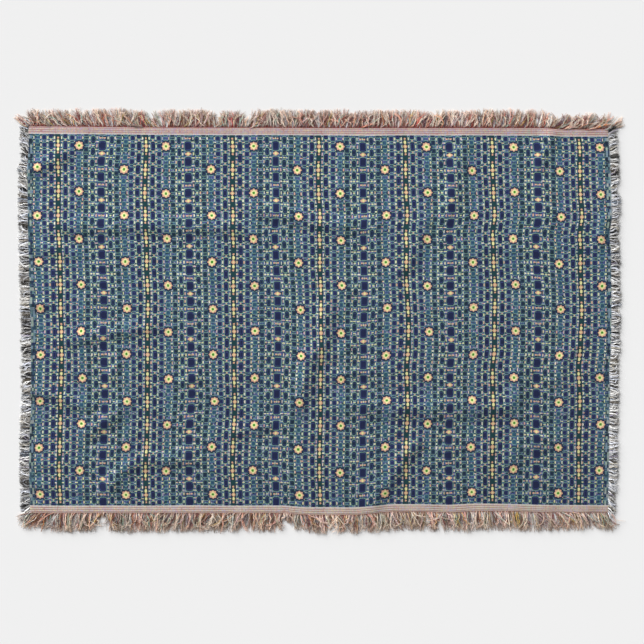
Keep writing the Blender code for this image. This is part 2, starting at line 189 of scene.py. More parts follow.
# Places where the fringe is parted or lies shorter, with how much of its length is missing
Parting = namedtuple("Parting", "along half_width depth")
TOP_PARTINGS = (
    Parting(-0.366, 0.014, 0.40), Parting(-0.229, 0.014, 0.45), Parting(-0.196, 0.030, 0.10),
    Parting(-0.169, 0.010, 0.45), Parting(0.073, 0.016, 0.26), Parting(0.240, 0.012, 0.18),
    Parting(0.261, 0.008, 0.24), Parting(0.520, 0.016, 0.20),
)
BOTTOM_PARTINGS = (
    Parting(-0.487, 0.013, 0.75), Parting(-0.155, 0.030, 0.14), Parting(-0.073, 0.024, 0.48),
    Parting(-0.052, 0.034, 0.18), Parting(0.022, 0.014, 0.60), Parting(0.063, 0.008, 0.50),
    Parting(0.099, 0.009, 0.45), Parting(0.215, 0.012, 0.20), Parting(0.288, 0.008, 0.15),
    Parting(0.596, 0.018, 0.26),
)
LEFT_PARTINGS = (Parting(0.356, 0.018, 0.30), Parting(-0.100, 0.008, 0.20))
RIGHT_PARTINGS = (
    Parting(-0.430, 0.012, 0.15), Parting(0.027, 0.010, 0.30), Parting(0.232, 0.012, 0.40),
    Parting(0.298, 0.010, 0.45),
)

# The four fringes. Every second lock of yarns is gathered into a strand on top of the pile,
# whose height is counted in yarn radii, and the yarns between fan out below. Runs are counted
# in yarns. Spread says how far the yarns' directions differ and curl how far they bend, both in
# radians, and ragged what share their lengths differ by. Alike says what share of the yarns
# take the dye of their patch, and of their patch or their lock.
Fringe = namedtuple(
    "Fringe", "name node side yarns rings length lean partings strand_run body_run gather spread "
    "curl ragged pile alike root tip seed")
Blend = namedtuple("Blend", "code share")
# Root blends are partly painted shade where the yarns leave the cloth; the pale tip blends are partly
# painted light.
WARP_FRINGES = (
    Fringe("warp_fringe_top", "fringe_top", "top", 2600, 13, 0.0438, TOP_LEAN, TOP_PARTINGS,
           3.6, 5.0, 0.90, 0.38, 0.72, 0.03, 5.0, (0.24, 0.80), Blend("8c3234", 0.90),
           Blend("f6dcc8", 0.60), 11),
    Fringe("warp_fringe_bottom", "fringe_bottom", "bottom", 2600, 13, 0.0456, BOTTOM_LEAN,
           BOTTOM_PARTINGS, 3.2, 4.4, 0.84, 0.34, 0.66, 0.04, 11.0, (0.34, 0.74),
           Blend("8c5e5a", 0.50), Blend("fadcc6", 0.70), 12),
)
# Root blends are partly painted shade where the yarns leave the cloth.
WEFT_FRINGES = (
    Fringe("weft_fringe_left", "fringe_left", "left", 2200, 12, 0.0244, LEFT_LEAN, LEFT_PARTINGS,
           5.0, 5.5, 0.70, 0.22, 0.34, 0.05, 4.2, (0.05, 0.88), Blend("5a646c", 0.40),
           Blend("e8e8e8", 0.10), 13),
    Fringe("weft_fringe_right", "fringe_right", "right", 2200, 12, 0.0210, RIGHT_LEAN,
           RIGHT_PARTINGS, 5.5, 5.5, 0.75, 0.20, 0.38, 0.07, 12.5, (0.03, 0.90),
           Blend("8c949c", 0.40), Blend("8c867e", 0.12), 14),
)


def paint(code):
    """Turn a six-digit colour code into a linear colour with full cover."""
    parts = [int(code[place:place + 2], 16) / 255 for place in (0, 2, 4)]
    linear = [part / 12.92 if part <= 0.04045 else ((part + 0.055) / 1.055) ** 2.4
              for part in parts]
    return (*linear, 1.0)


# Colours of the yarns, with how often each comes in the first and in the second fringe of its
# pair, among the strands on top or the yarns below. Both rows of warp dyes run through the same
# hues, so that a strand suits the yarns around it.
Dye = namedtuple("Dye", "code first second on_top")
# The dyes below the strands are darker copies of the hues on top, partly as painted shade under the
# strands.
WARP_DYES = (
    Dye("d25850", 0.8, 0.0, True), Dye("c87a66", 1.8, 0.6, True), Dye("eab09a", 3.6, 1.4, True),
    Dye("e29660", 0.7, 0.3, True), Dye("ffecda", 6.2, 3.6, True), Dye("e6ccb2", 3.0, 4.0, True),
    Dye("d2b264", 0.5, 1.2, True), Dye("d6d0b8", 1.6, 2.0, True), Dye("a2c0b2", 0.6, 0.6, True),
    Dye("cccec6", 1.2, 1.5, True), Dye("e4c4c2", 2.6, 3.6, True),
    Dye("98423e", 3.0, 0.4, False), Dye("9c6456", 3.2, 2.8, False),
    Dye("aa7048", 1.0, 1.4, False), Dye("a67e68", 3.0, 2.6, False),
    Dye("9c8054", 1.5, 2.4, False), Dye("7e785a", 1.2, 2.0, False),
    Dye("78887e", 0.6, 1.1, False), Dye("80727c", 1.5, 2.2, False),
    Dye("84545c", 3.4, 2.4, False),
)
# The many dark weft yarns below are partly the weft's own charcoal yarns and partly painted shade
# between the pale strands.
WEFT_DYES = (
    Dye("fffefc", 7.0, 6.5, True), Dye("eef1fa", 3.0, 4.0, True), Dye("ccc6b8", 0.8, 1.6, True),
    Dye("7e766c", 0.7, 0.8, True), Dye("2e2a2a", 1.6, 0.5, True), Dye("a8a0b4", 0.5, 0.6, True),
    Dye("1e1e24", 5.5, 2.5, False), Dye("403a32", 3.0, 2.8, False),
    Dye("72695a", 1.2, 2.4, False), Dye("98a4b4", 0.8, 1.8, False),
    Dye("f4ede4", 2.2, 3.0, False),
)


def ease(share):
    """Run smoothly from 0 to 1 as the share does."""
    share = np.clip(share, 0.0, 1.0)
    return share * share * (3.0 - 2.0 * share)


def read_marks(marks, along):
    """Read an amount at places along an edge."""
    places, amounts = np.array(marks).T
    index = np.clip(np.searchsorted(places, along) - 1, 0, len(places) - 2)
    share = ease((along - places[index]) / (places[index + 1] - places[index]))
    return amounts[index] + (amounts[index + 1] - amounts[index]) * share


def plan(u, v):
    """Place points of the cloth on the floor; u and v run from -1 to 1 along X and Y."""
    x = u * CLOTH_LENGTH / 2
    y = v * CLOTH_WIDTH / 2
    right_share = (1 + u) / 2
    top_share = (1 + v) / 2
    shift_x = read_marks(RIGHT_EDGE, y) * right_share
    shift_x -= read_marks(LEFT_EDGE, y) * (1 - right_share)
    shift_y = read_marks(TOP_EDGE, x) * top_share
    shift_y -= read_marks(BOTTOM_EDGE, x) * (1 - top_share)
    return np.stack((x + shift_x, y + shift_y), axis=-1)


def smooth_line(points):
    """Draw a smooth curve through the points and return places along it."""
    points = np.array(points)
    padded = np.vstack((points[0] * 2 - points[1], points, points[-1] * 2 - points[-2]))
    line = []
    for index in range(1, len(padded) - 2):
        a, b, c, d = padded[index - 1:index + 3]
        for step in range(CREASE_STEPS):
            t = step / CREASE_STEPS
            line.append(0.5 * (2 * b + (c - a) * t + (2 * a - 5 * b + 4 * c - d) * t ** 2
                               + (3 * b - a - 3 * c + d) * t ** 3))
    line.append(points[-1])
    return np.array(line)


def ridge_lift(crease, places):
    """Say how high one crease lifts the cloth at each place."""
    line = smooth_line(crease.line)
    runs = np.diff(line, axis=0)
    lengths = np.linalg.norm(runs, axis=1)
    travelled = np.concatenate(([0.0], np.cumsum(lengths)))
    reach = max(crease.upper, crease.lower)
    inside = (places > line.min(axis=0) - reach) & (places < line.max(axis=0) + reach)
    near = inside.all(axis=-1)
    lift = np.zeros(near.shape)
    some = places[near][:, None, :]
    share = np.clip(((some - line[:-1]) * runs).sum(axis=2) / lengths ** 2, 0, 1)
    offsets = some - (line[:-1] + runs * share[:, :, None])
    distances = np.linalg.norm(offsets, axis=2)
    best = (np.arange(len(some)), distances.argmin(axis=1))
    distance = distances[best]
    along = travelled[best[1]] + lengths[best[1]] * share[best]
    facing = offsets[best] @ LOWER_SIDE / np.maximum(distance, 1e-9)
    half_width = crease.upper + (crease.lower - crease.upper) * (1 + facing) / 2
    across = np.cos(np.pi / 2 * np.minimum(distance / half_width, 1)) ** 2
    fade = travelled[-1] * CREASE_FADE
    ends = ease(along / fade) * ease((travelled[-1] - along) / fade)
    wave = 2 * np.pi * along / RIPPLE_LENGTH + RIPPLE_SHIFT * travelled[-1]
    lift[near] = crease.height * across * ends * (1 + RIPPLE * np.sin(wave))
    return lift


def crease_height(places):
    """Height of the cloth's underside above the floor at each place."""
    return np.sqrt(sum(ridge_lift(crease, places) ** 2 for crease in CREASES))


def slow_waves(waves, places, phase=0.0):
    """Add up slow waves over the cloth, between -1 and 1."""
    total = 0.0
    for order, wave in enumerate(waves):
        across = places[..., 0] * math.cos(wave.heading) + places[..., 1] * math.sin(wave.heading)
        bend = places[..., 1] * math.cos(wave.heading) - places[..., 0] * math.sin(wave.heading)
        turn = 2 * np.pi * across / wave.length + phase + 1.7 * order
        total = total + wave.share * np.sin(turn + 1.3 * np.sin(2 * np.pi * bend / (wave.length * 2.3)))
    return total


def floor_shift():
    """Find how the frame's cloth lies against the drawn plan, in X and Y."""
    rim = np.linspace(-1, 1, 241)
    ones = np.ones_like(rim)
    edges = np.concatenate([plan(rim, ones), plan(rim, -ones), plan(ones, rim), plan(-ones, rim)])
    low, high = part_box("cloth")
    framed = (np.array(low)[:2] + np.array(high)[:2]) / 2
    return framed - (edges.min(axis=0) + edges.max(axis=0)) / 2


FLOOR_SHIFT = floor_shift()


# Settings that a user would change


class ThrowClothSettings(bpy.types.PropertyGroup):
    """Sizes and colours of the woven sheet."""

    grid_step: FloatProperty(
        name="Grid Step", description="Size of the mesh's squares", default=0.0055,
        min=0.003, unit="LENGTH", precision=4)
    pucker: FloatProperty(
        name="Pucker", description="How high the cloth puckers between its creases",
        default=0.0007, min=0.0, unit="LENGTH", precision=4)
    wander: FloatProperty(
        name="Wander", description="How far the woven rows stray from straight lines",
        default=0.0026, min=0.0, unit="LENGTH", precision=4)
    yarn_pitch: FloatProperty(
        name="Yarn Pitch", description="Distance between neighbouring yarns of the weave",
        default=0.0013, min=0.0005, unit="LENGTH", precision=4)
    ground: FloatVectorProperty(
        name="Ground", description="Main colour behind the motifs", default=paint("3d5878"),
        size=4, subtype="COLOR", min=0.0, max=1.0)
    blocks: FloatVectorProperty(
        name="Blocks", description="Colour of the dark blocks", default=paint("1a2246"),
        size=4, subtype="COLOR", min=0.0, max=1.0)
    accents: FloatVectorProperty(
        name="Accents", description="Colour of the star bodies and beads",
        default=paint("e2dfa0"), size=4, subtype="COLOR", min=0.0, max=1.0)
    heading: FloatVectorProperty(
        name="Heading", description="Colour of the plain headings", default=paint("b3aba8"),
        size=4, subtype="COLOR", min=0.0, max=1.0)


class ThrowFringeSettings(bpy.types.PropertyGroup):
    """Sizes of the loose yarns."""

    warp_radius: FloatProperty(
        name="Warp Radius", description="Radius of a loose warp yarn", default=0.00050,
        min=0.0002, unit="LENGTH", precision=5)
    weft_radius: FloatProperty(
        name="Weft Radius", description="Radius of a loose weft yarn", default=0.00046,
        min=0.0002, unit="LENGTH", precision=5)
    twist: FloatProperty(
        name="Twist", description="Turns of a yarn's plies for each metre", default=260.0,
        min=0.0)
    sides: IntProperty(
        name="Sides", description="Flat sides of each yarn's mesh", default=3, min=3, max=8)


class ThrowStageSettings(bpy.types.PropertyGroup):
    """Floor, light and camera."""

    floor: FloatVectorProperty(
        name="Floor", description="Colour of the floor", default=(0.80, 0.80, 0.80, 1.0),
        size=4, subtype="COLOR", min=0.0, max=1.0)
    sun: FloatProperty(
        name="Sun", description="Strength of the light from the upper left", default=4.65,
        min=0.0)
    sun_softness: FloatProperty(
        name="Sun Softness", description="Angle over which the light is spread",
        default=math.radians(56), min=0.0, subtype="ANGLE")
    sky: FloatProperty(
        name="Sky", description="Strength of the even light from all round", default=0.24,
        min=0.0)
    camera_height: FloatProperty(
        name="Camera Height", description="Height of the camera over the floor",
        default=3.43, min=0.5, unit="LENGTH")
    lens: FloatProperty(
        name="Lens", description="Focal length of the camera", default=85.0, min=10.0,
        unit="CAMERA")


# Nodes


class Wiring:
    """Adds nodes to one tree and links them; a value may be a number, a colour or a socket."""

    def __init__(self, tree):
        self.tree = tree
        self.count = 0

    def feed(self, socket, value):
        """Link a socket into another, or set its number or colour."""
        if isinstance(value, bpy.types.NodeSocket):
            self.tree.links.new(value, socket)
        else:
            socket.default_value = value

    def add(self, kind, inputs=(), **settings):
        """Add a node with its settings, and feed its inputs by number or by name."""
        node = self.tree.nodes.new(kind)
        node.location = (220 * (self.count // 12), -180 * (self.count % 12))
        self.count += 1
        for name, value in settings.items():
            setattr(node, name, value)
        pairs = inputs.items() if isinstance(inputs, dict) else enumerate(inputs)
        for place, value in pairs:
            self.feed(node.inputs[place], value)
        return node

    def maths(self, operation, *values, clamp=False):
        """Work out a number."""
        return self.add("ShaderNodeMath", values, operation=operation, use_clamp=clamp).outputs[0]

    def band(self, value, edge, softness):
        """Mark where a value is under an edge, 1 inside and 0 outside."""
        node = self.add("ShaderNodeMapRange", (value, edge - softness, edge + softness, 1.0, 0.0))
        return node.outputs[0]

    def blend(self, share, first, second, mode="MIX"):
        """Mix two colours."""
        node = self.add("ShaderNodeMix", data_type="RGBA", blend_type=mode, clamp_factor=True)
        self.feed(node.inputs[0], share)
        self.feed(node.inputs[6], first)
        self.feed(node.inputs[7], second)
        return node.outputs[2]

    def ramp(self, value, stops, steps=False):
        """Pick a colour from a row of (place, colour) stops."""
        node = self.add("ShaderNodeValToRGB", (value,))
        bar = node.color_ramp
        bar.interpolation = "CONSTANT" if steps else "LINEAR"
        while len(bar.elements) < len(stops):
            bar.elements.new(1.0)
        for element, (place, colour) in zip(bar.elements, stops):
            element.position = place
            element.color = colour
        return node.outputs[0]

    def scatter(self, x, y):
        """Give an even random number for each pair of whole numbers."""
        place = self.add("ShaderNodeCombineXYZ", (x, y, 0.0)).outputs[0]
        return self.add("ShaderNodeTexWhiteNoise", (place,), noise_dimensions="2D").outputs[0]

    def noise(self, x, y, scale, detail=2.0):
        """Give soft random patches, around 0.5."""
        place = self.add("ShaderNodeCombineXYZ", (x, y, 0.0)).outputs[0]
        node = self.add("ShaderNodeTexNoise", {"Vector": place, "Scale": scale, "Detail": detail},
                        noise_dimensions="2D")
        return node.outputs[0]

    def group(self, tree, **inputs):
        """Place a node group with its own values."""
        node = self.add("ShaderNodeGroup", node_tree=tree)
        for name, value in inputs.items():
            self.feed(node.inputs[name.replace("_", " ").capitalize()], value)
        return node


def start_group(name, inputs, outputs):
    """Make an empty node group with named inputs and outputs, both (kind, name, default)."""
    tree = bpy.data.node_groups.new(name, "ShaderNodeTree")
    for kind, label, default in inputs:
        socket = tree.interface.new_socket(label, in_out="INPUT", socket_type="NodeSocket" + kind)
        socket.default_value = default
    for kind, label in outputs:
        tree.interface.new_socket(label, in_out="OUTPUT", socket_type="NodeSocket" + kind)
    wiring = Wiring(tree)
    entry = wiring.add("NodeGroupInput")
    leave = wiring.add("NodeGroupOutput")
    return wiring, entry.outputs, leave.inputs


def shared_group(maker):
    """Make a node group once and hand out the same one afterwards."""
    made = {}

    def fetch():
        if maker.__name__ not in made:
            made[maker.__name__] = maker()
        return made[maker.__name__]
    return fetch


@shared_group
def tile_group():
    """Distance from the rim of a tile: 0 on it, under 0 inside, in units of length.

    Squareness 1 is a lozenge, 2 an oval and 4 or more a block with round corners.
    """
    inputs = (
        ("Float", "Across", 0.0), ("Float", "Up", 0.0), ("Float", "Half width", 5.0),
        ("Float", "Half height", 5.0), ("Float", "Squareness", 4.0),
    )
    wiring, given, result = start_group("Tile", inputs, (("Float", "Distance"),))
    powers = []
    for offset, half in (("Across", "Half width"), ("Up", "Half height")):
        part = wiring.maths("DIVIDE", wiring.maths("ABSOLUTE", given[offset]), given[half])
        powers.append(wiring.maths("POWER", part, given["Squareness"]))
    whole = wiring.maths("ADD", *powers)
    root = wiring.maths("POWER", whole, wiring.maths("DIVIDE", 1.0, given["Squareness"]))
    smaller = wiring.maths("MINIMUM", given["Half width"], given["Half height"])
    wiring.feed(result["Distance"],
                wiring.maths("MULTIPLY", wiring.maths("SUBTRACT", root, 1.0), smaller))
    return wiring.tree


@shared_group
def star_group():
    """Distance from the rim of an eight-pointed star: a square over a square on its corner."""
    inputs = (("Float", "Across", 0.0), ("Float", "Up", 0.0), ("Float", "Half side", 9.0))
    wiring, given, result = start_group("Star", inputs, (("Float", "Distance"),))
    across = wiring.maths("ABSOLUTE", given["Across"])
    up = wiring.maths("ABSOLUTE", given["Up"])
    square = wiring.maths("MAXIMUM", across, up)
    corner = wiring.maths("MULTIPLY", wiring.maths("ADD", across, up), math.sqrt(0.5))
    nearer = wiring.maths("MINIMUM", square, corner)
    wiring.feed(result["Distance"], wiring.maths("SUBTRACT", nearer, given["Half side"]))
    return wiring.tree


@shared_group
def weave_group():
    """Plain weave: each yarn passes over one and under the next, in both directions, with painted shade
    in the hollows.
    """
    inputs = (("Float", "Along", 0.0), ("Float", "Across", 0.0), ("Float", "Pitch", 1.3))
    outputs = (("Float", "Height"), ("Float", "Shade"))
    wiring, given, result = start_group("Weave", inputs, outputs)
    turn = wiring.maths("DIVIDE", math.pi, given["Pitch"])
    along = wiring.maths("SINE", wiring.maths("MULTIPLY", given["Along"], turn))
    across = wiring.maths("SINE", wiring.maths("MULTIPLY", given["Across"], turn))
    warp_over = wiring.maths("GREATER_THAN", wiring.maths("MULTIPLY", along, across), 0.0)
    warp_round = wiring.maths("ABSOLUTE", along)
    weft_round = wiring.maths("ABSOLUTE", across)
    warp = wiring.maths("MULTIPLY", wiring.maths("SQRT", warp_round),
                        wiring.maths("MULTIPLY_ADD", weft_round, 0.5, 0.5))
    weft = wiring.maths("MULTIPLY", wiring.maths("SQRT", weft_round),
                        wiring.maths("MULTIPLY_ADD", warp_round, 0.5, 0.5))
    height = wiring.add("ShaderNodeMix", (warp_over, weft, weft), data_type="FLOAT")
    wiring.feed(height.inputs[2], weft)
    wiring.feed(height.inputs[3], warp)
    wiring.feed(result["Height"], height.outputs[0])
    columns = wiring.maths("FLOOR", wiring.maths("DIVIDE", given["Along"], given["Pitch"]))
    rows = wiring.maths("FLOOR", wiring.maths("DIVIDE", given["Across"], given["Pitch"]))
    warp_tint = wiring.scatter(columns, 3.5)
    weft_tint = wiring.scatter(rows, 7.5)
    tint = wiring.add("ShaderNodeMix", data_type="FLOAT")
    wiring.feed(tint.inputs[0], warp_over)
    wiring.feed(tint.inputs[2], weft_tint)
    wiring.feed(tint.inputs[3], warp_tint)
    # Painted shade: darker where the yarns dip between one another; the tint is each yarn's own tone.
    depth = wiring.maths("MULTIPLY_ADD", height.outputs[0], 0.35, 0.72)
    wiring.feed(result["Shade"], wiring.maths(
        "MULTIPLY", depth, wiring.maths("MULTIPLY_ADD", tint.outputs[0], 0.24, 0.92)))
    return wiring.tree


# The mosaic, in millimetres. It repeats across the throw and is mirrored at each beaded stripe,
# so a column's place is its distance from the nearest stripe. Every second half is shifted
# along the stripe, so that the stars stand in half drop.
REPEAT = CLOTH_LENGTH * 1000 / 6.7
HALF_REPEAT = REPEAT / 2
HALF_DROP = 52.5
RISE = 26.25              # of the whole design, so that no star is cut by a heading
WOVEN_STEP = 1.1          # the design is drawn on squares of this size, as the loom has it
GROUND_SQUARE = 4.375
OUTLINE = 0.95
OUTLINE_PAINT = "75998a"
INNER_LINE = 1.9          # how far inside its rim a block has a second, fainter line
INNER_PAINT = "4b5c9c"

Motif = namedtuple("Motif", "column period shift half_width half_height squareness code outlined")
BLOCKS = (
    Motif(46.8, 17.5, 8.75, 4.3, 4.6, 4.0, "2b5c6c", True),
    Motif(31.2, 17.5, 0.0, 5.0, 5.6, 4.0, "1e2750", True),
    Motif(62.4, 17.5, 8.75, 5.0, 5.6, 4.0, "14302e", True),
    Motif(16.2, 26.25, 0.0, 5.0, 9.8, 5.0, "182040", True),
    Motif(16.2, 26.25, 13.125, 1.7, 1.7, 2.0, "cfa48c", False),
    Motif(77.6, 26.25, 13.125, 4.8, 8.4, 3.0, "152e38", True),
    Motif(77.6, 26.25, 0.0, 2.6, 1.4, 3.0, "cbcda2", False),
)
# Blocks in the middle between two stripes, where the mosaic is mirrored too
MIDDLE_BLOCKS = (
    Motif(HALF_REPEAT, 35.0, 0.0, 8.0, 10.6, 5.0, "182144", True),
    Motif(HALF_REPEAT - 4.4, 35.0, 17.5, 2.5, 1.7, 3.0, "cfa48c", False),
    Motif(HALF_REPEAT, 35.0, 17.5, 0.9, 2.2, 3.0, "cbcda2", False),
    Motif(HALF_REPEAT, 105.0, 17.5, 7.6, 4.6, 1.2, "d2a68c", False),
    Motif(HALF_REPEAT, 105.0, 17.5, 3.0, 3.2, 1.2, "dcd894", False),
)
DASH_COLUMNS = 15.6       # distance between the columns of dashes
DASH_START = 23.4
DASH_PERIOD = 17.5
DASH_HALF = (1.4, 3.4)
DASH_PAINTS = ("c6c9a4", "b0bfa0", "dcdac4", "c9a08a", "8aa2a2", "ccce9e", "c4a8ac")
STAR_COLUMN = 46.8
STAR_PERIOD = 105.0
Bead = namedtuple("Bead", "place half_width half_height squareness code")
STRIPE_BEADS = (
    Bead(26.25, 4.4, 6.6, 1.3, "163c40"),
    Bead(17.6, 2.2, 2.2, 2.0, "cfa084"),
    Bead(9.6, 2.8, 4.2, 2.0, "dad698"),
    Bead(0.0, 4.8, 5.0, 1.3, "cfa084"),
    Bead(0.0, 1.6, 2.0, 1.3, "dad698"),
)
GROUND_TINTS = (
    "455f8e", "53709c", "2f5468", "56589a", "7993b0", "182a3a", "436886", "a8a8bc", "22384e",
    "686aa8", "4a7496", "1c3c3a",
)


@shared_group
def ground_group():
    """Small squares in shades of one family with dark lines between them."""
    inputs = (("Float", "Along", 0.0), ("Float", "Across", 0.0), ("Color", "Ground", (0, 0, 0, 1)))
    wiring, given, result = start_group("Mosaic ground", inputs, (("Color", "Colour"),))
    cells = [wiring.maths("FLOOR", wiring.maths("DIVIDE", given[name], GROUND_SQUARE))
             for name in ("Along", "Across")]
    tint = wiring.scatter(*cells)
    stops = [(order / len(GROUND_TINTS), paint(code)) for order, code in enumerate(GROUND_TINTS)]
    colour = wiring.ramp(tint, stops, steps=True)
    colour = wiring.blend(0.30, colour, given["Ground"])
    lines = [wiring.maths("PINGPONG", given[name], GROUND_SQUARE / 2)
             for name in ("Along", "Across")]
    line = wiring.band(wiring.maths("MINIMUM", *lines), 0.55, 0.05)
    colour = wiring.blend(wiring.maths("MULTIPLY", line, 0.7), colour, paint("14242a"))
    wiring.feed(result["Colour"], colour)
    return wiring.tree


def draw_tile(wiring, colour, across, up, tile, fill, outlined=False):
    """Lay one tile over a colour; an outlined one has a pale rim and a faint inner line."""
    distance = wiring.group(
        tile_group(), across=across, up=up, half_width=tile.half_width,
        half_height=tile.half_height, squareness=tile.squareness).outputs[0]
    if outlined:
        colour = wiring.blend(wiring.band(distance, OUTLINE, 0.05), colour, paint(OUTLINE_PAINT))
        inner = wiring.maths("ABSOLUTE", wiring.maths("ADD", distance, INNER_LINE))
        faint = wiring.maths("MULTIPLY", wiring.band(inner, 0.4, 0.05), 0.4)
        fill = wiring.blend(faint, fill, paint(INNER_PAINT))
    return wiring.blend(wiring.band(distance, 0.0, 0.05), colour, fill)


@shared_group
def mosaic_group():
    """The woven design of the field: ground, dashes, blocks, stars and beaded stripes."""
    inputs = (
        ("Float", "Along", 0.0), ("Float", "Across", 0.0), ("Color", "Ground", (0, 0, 0, 1)),
        ("Color", "Blocks", (0, 0, 0, 1)), ("Color", "Accents", (0, 0, 0, 1)),
    )
    wiring, given, result = start_group("Mosaic", inputs, (("Color", "Colour"),))
    x, y = [wiring.maths("ADD", wiring.maths("SNAP", given[name], WOVEN_STEP), start)
            for name, start in (("Along", WOVEN_STEP / 2), ("Across", WOVEN_STEP / 2 + RISE))]
    side = wiring.maths("FLOOR", wiring.maths("DIVIDE", x, HALF_REPEAT))
    odd_side = wiring.maths("WRAP", side, 2.0, 0.0)
    fold = wiring.maths("PINGPONG", x, HALF_REPEAT)
    up = wiring.maths("MULTIPLY_ADD", odd_side, HALF_DROP, y)

    colour = wiring.group(ground_group(), along=fold, across=up, ground=given["Ground"]).outputs[0]
    dash_across = wiring.maths("PINGPONG", wiring.maths("SUBTRACT", fold, DASH_START),
                               DASH_COLUMNS / 2)
    column = wiring.maths("ROUND", wiring.maths("DIVIDE", fold, DASH_COLUMNS))
    row = wiring.maths("ROUND", wiring.maths("DIVIDE", up, DASH_PERIOD / 2))
    stops = [(order / len(DASH_PAINTS), paint(code)) for order, code in enumerate(DASH_PAINTS)]
    dash_fill = wiring.ramp(wiring.scatter(column, row), stops, steps=True)
    for shift, halves in ((0.0, DASH_HALF), (DASH_PERIOD / 2, DASH_HALF[::-1])):
        dash_up = wiring.maths("PINGPONG", wiring.maths("ADD", up, shift), DASH_PERIOD / 2)
        dash = Motif(0, 0, 0, *halves, 3.0, None, False)
        colour = draw_tile(wiring, colour, dash_across, dash_up, dash, dash_fill)

    hue = wiring.noise(fold, up, 0.06, 1.0)
    for block in BLOCKS + MIDDLE_BLOCKS:
        across = wiring.maths("SUBTRACT", fold, block.column)
        height = y if block in MIDDLE_BLOCKS else up
        high = wiring.maths("PINGPONG", wiring.maths("ADD", height, block.shift),
                            block.period / 2)
        fill = paint(block.code)
        if block.outlined:
            fill = wiring.blend(wiring.maths("MULTIPLY", hue, 0.8), fill, given["Blocks"])
        colour = draw_tile(wiring, colour, across, high, block, fill, block.outlined)

    across = wiring.maths("SUBTRACT", fold, STAR_COLUMN)
    high = wiring.maths("PINGPONG", up, STAR_PERIOD / 2)
    surround = Motif(0, 0, 0, 12.4, 12.4, 2.4, None, False)
    colour = draw_tile(wiring, colour, across, high, surround, paint("1a3048"))
    star = wiring.group(star_group(), across=across, up=high, half_side=7.4).outputs[0]
    colour = wiring.blend(wiring.band(star, 0.0, 0.05), colour, paint("d6a68c"))
    body = Motif(0, 0, 0, 7.8, 7.8, 1.0, None, False)
    colour = draw_tile(wiring, colour, across, high, body, given["Accents"])
    centre = Motif(0, 0, 0, 2.7, 2.7, 4.0, None, False)
    colour = draw_tile(wiring, colour, across, high, centre, paint("3f8a28"))

    bead_up = wiring.maths("PINGPONG", y, HALF_DROP / 2)
    backing = Motif(0, 0, 0, 6.0, 60.0, 8.0, None, False)
    colour = draw_tile(wiring, colour, fold, 0.0, backing, paint("1c3840"))
    for bead in STRIPE_BEADS:
        high = wiring.maths("SUBTRACT", bead_up, bead.place)
        colour = draw_tile(wiring, colour, fold, high, bead, paint(bead.code))
    wiring.feed(result["Colour"], colour)
    return wiring.tree


HEADING_ROW = 4.6         # between the lines of a heading, in millimetres
PAINTED_LIGHT_FALLOFF = 0.00012          # painted light: how much paler the cloth is for each millimetre to its upper left
PAINTED_LIGHT_RISE = 0.00018       # painted light: how much paler the mosaic is, besides, for each millimetre upwards


@shared_group
def heading_group():
    """A plain heading: fine lines along its length over yarns of many pale colours.

    Depth is the distance from the woven edge, in millimetres.
    """
    inputs = (
        ("Float", "Along", 0.0), ("Float", "Depth", 0.0), ("Color", "Cloth", (0, 0, 0, 1)),
        ("Color", "Line", (0, 0, 0, 1)), ("Color", "Root", (0, 0, 0, 1)),
    )
    wiring, given, result = start_group("Heading", inputs, (("Color", "Colour"),))
    yarn = wiring.maths("FLOOR", wiring.maths("DIVIDE", given["Along"], 2.1))
    row = wiring.maths("FLOOR", wiring.maths("DIVIDE", given["Depth"], HEADING_ROW / 2))
    patch = wiring.noise(yarn, wiring.maths("MULTIPLY", row, 2.0), 0.22, 3.0)
    fine = wiring.scatter(yarn, 1.5)
    mixed = wiring.maths("MULTIPLY_ADD", fine, 0.34, wiring.maths("SUBTRACT", patch, 0.17))
    tints = ("9c4a4a", "dc9a80", "cfc0b0", "9894d2", "dccf84", "c8829a", "9cb498")
    stops = [(0.22 + 0.56 * order / len(tints), paint(code)) for order, code in enumerate(tints)]
    tint = wiring.ramp(mixed, stops)
    colour = wiring.blend(0.48, given["Cloth"], tint)
    line = wiring.maths("PINGPONG", wiring.maths("SUBTRACT", given["Depth"], 3.8), HEADING_ROW / 2)
    worn = wiring.maths("MULTIPLY_ADD", wiring.noise(given["Along"], row, 0.02, 2.0), 1.1, 0.1)
    colour = wiring.blend(wiring.maths("MULTIPLY", wiring.band(line, 1.1, 0.3), worn), colour,
                          given["Line"])
    pale = wiring.maths("ABSOLUTE", wiring.maths("SUBTRACT", given["Depth"], HEADING_WIDTH * 1000))
    colour = wiring.blend(wiring.maths("MULTIPLY", wiring.band(pale, 1.1, 0.2), 0.75), colour,
                          paint("d3cfce"))
    # The root colour at the woven edge is partly painted shade where the fringe leaves the cloth.
    root = wiring.band(given["Depth"], 1.6, 0.5)
    colour = wiring.blend(root, colour, given["Root"])
    wiring.feed(result["Colour"], colour)
    return wiring.tree


@shared_group
def twist_group():
    """The plies of a loose yarn, seen as slanting ridges."""
    inputs = (("Float", "Around", 0.0), ("Float", "Along", 0.0), ("Float", "Twist", 260.0))
    wiring, given, result = start_group("Yarn twist", inputs, (("Float", "Height"),))
    turns = wiring.maths("MULTIPLY", given["Along"], given["Twist"])
    lay = wiring.maths("MULTIPLY_ADD", given["Around"], 2.0, turns)
    wiring.feed(result["Height"], wiring.maths("PINGPONG", lay, 0.5))
    return wiring.tree


BORDER_BLOCK = (4.4, 7.3)     # in the mosaic's outermost columns, in millimetres
BORDER_CODES = ("17233a", "64868c", "1b2c52", "a5b8a8", "2c4a58", "8298a8", "182430", "b0b6b2",
                "35566a")


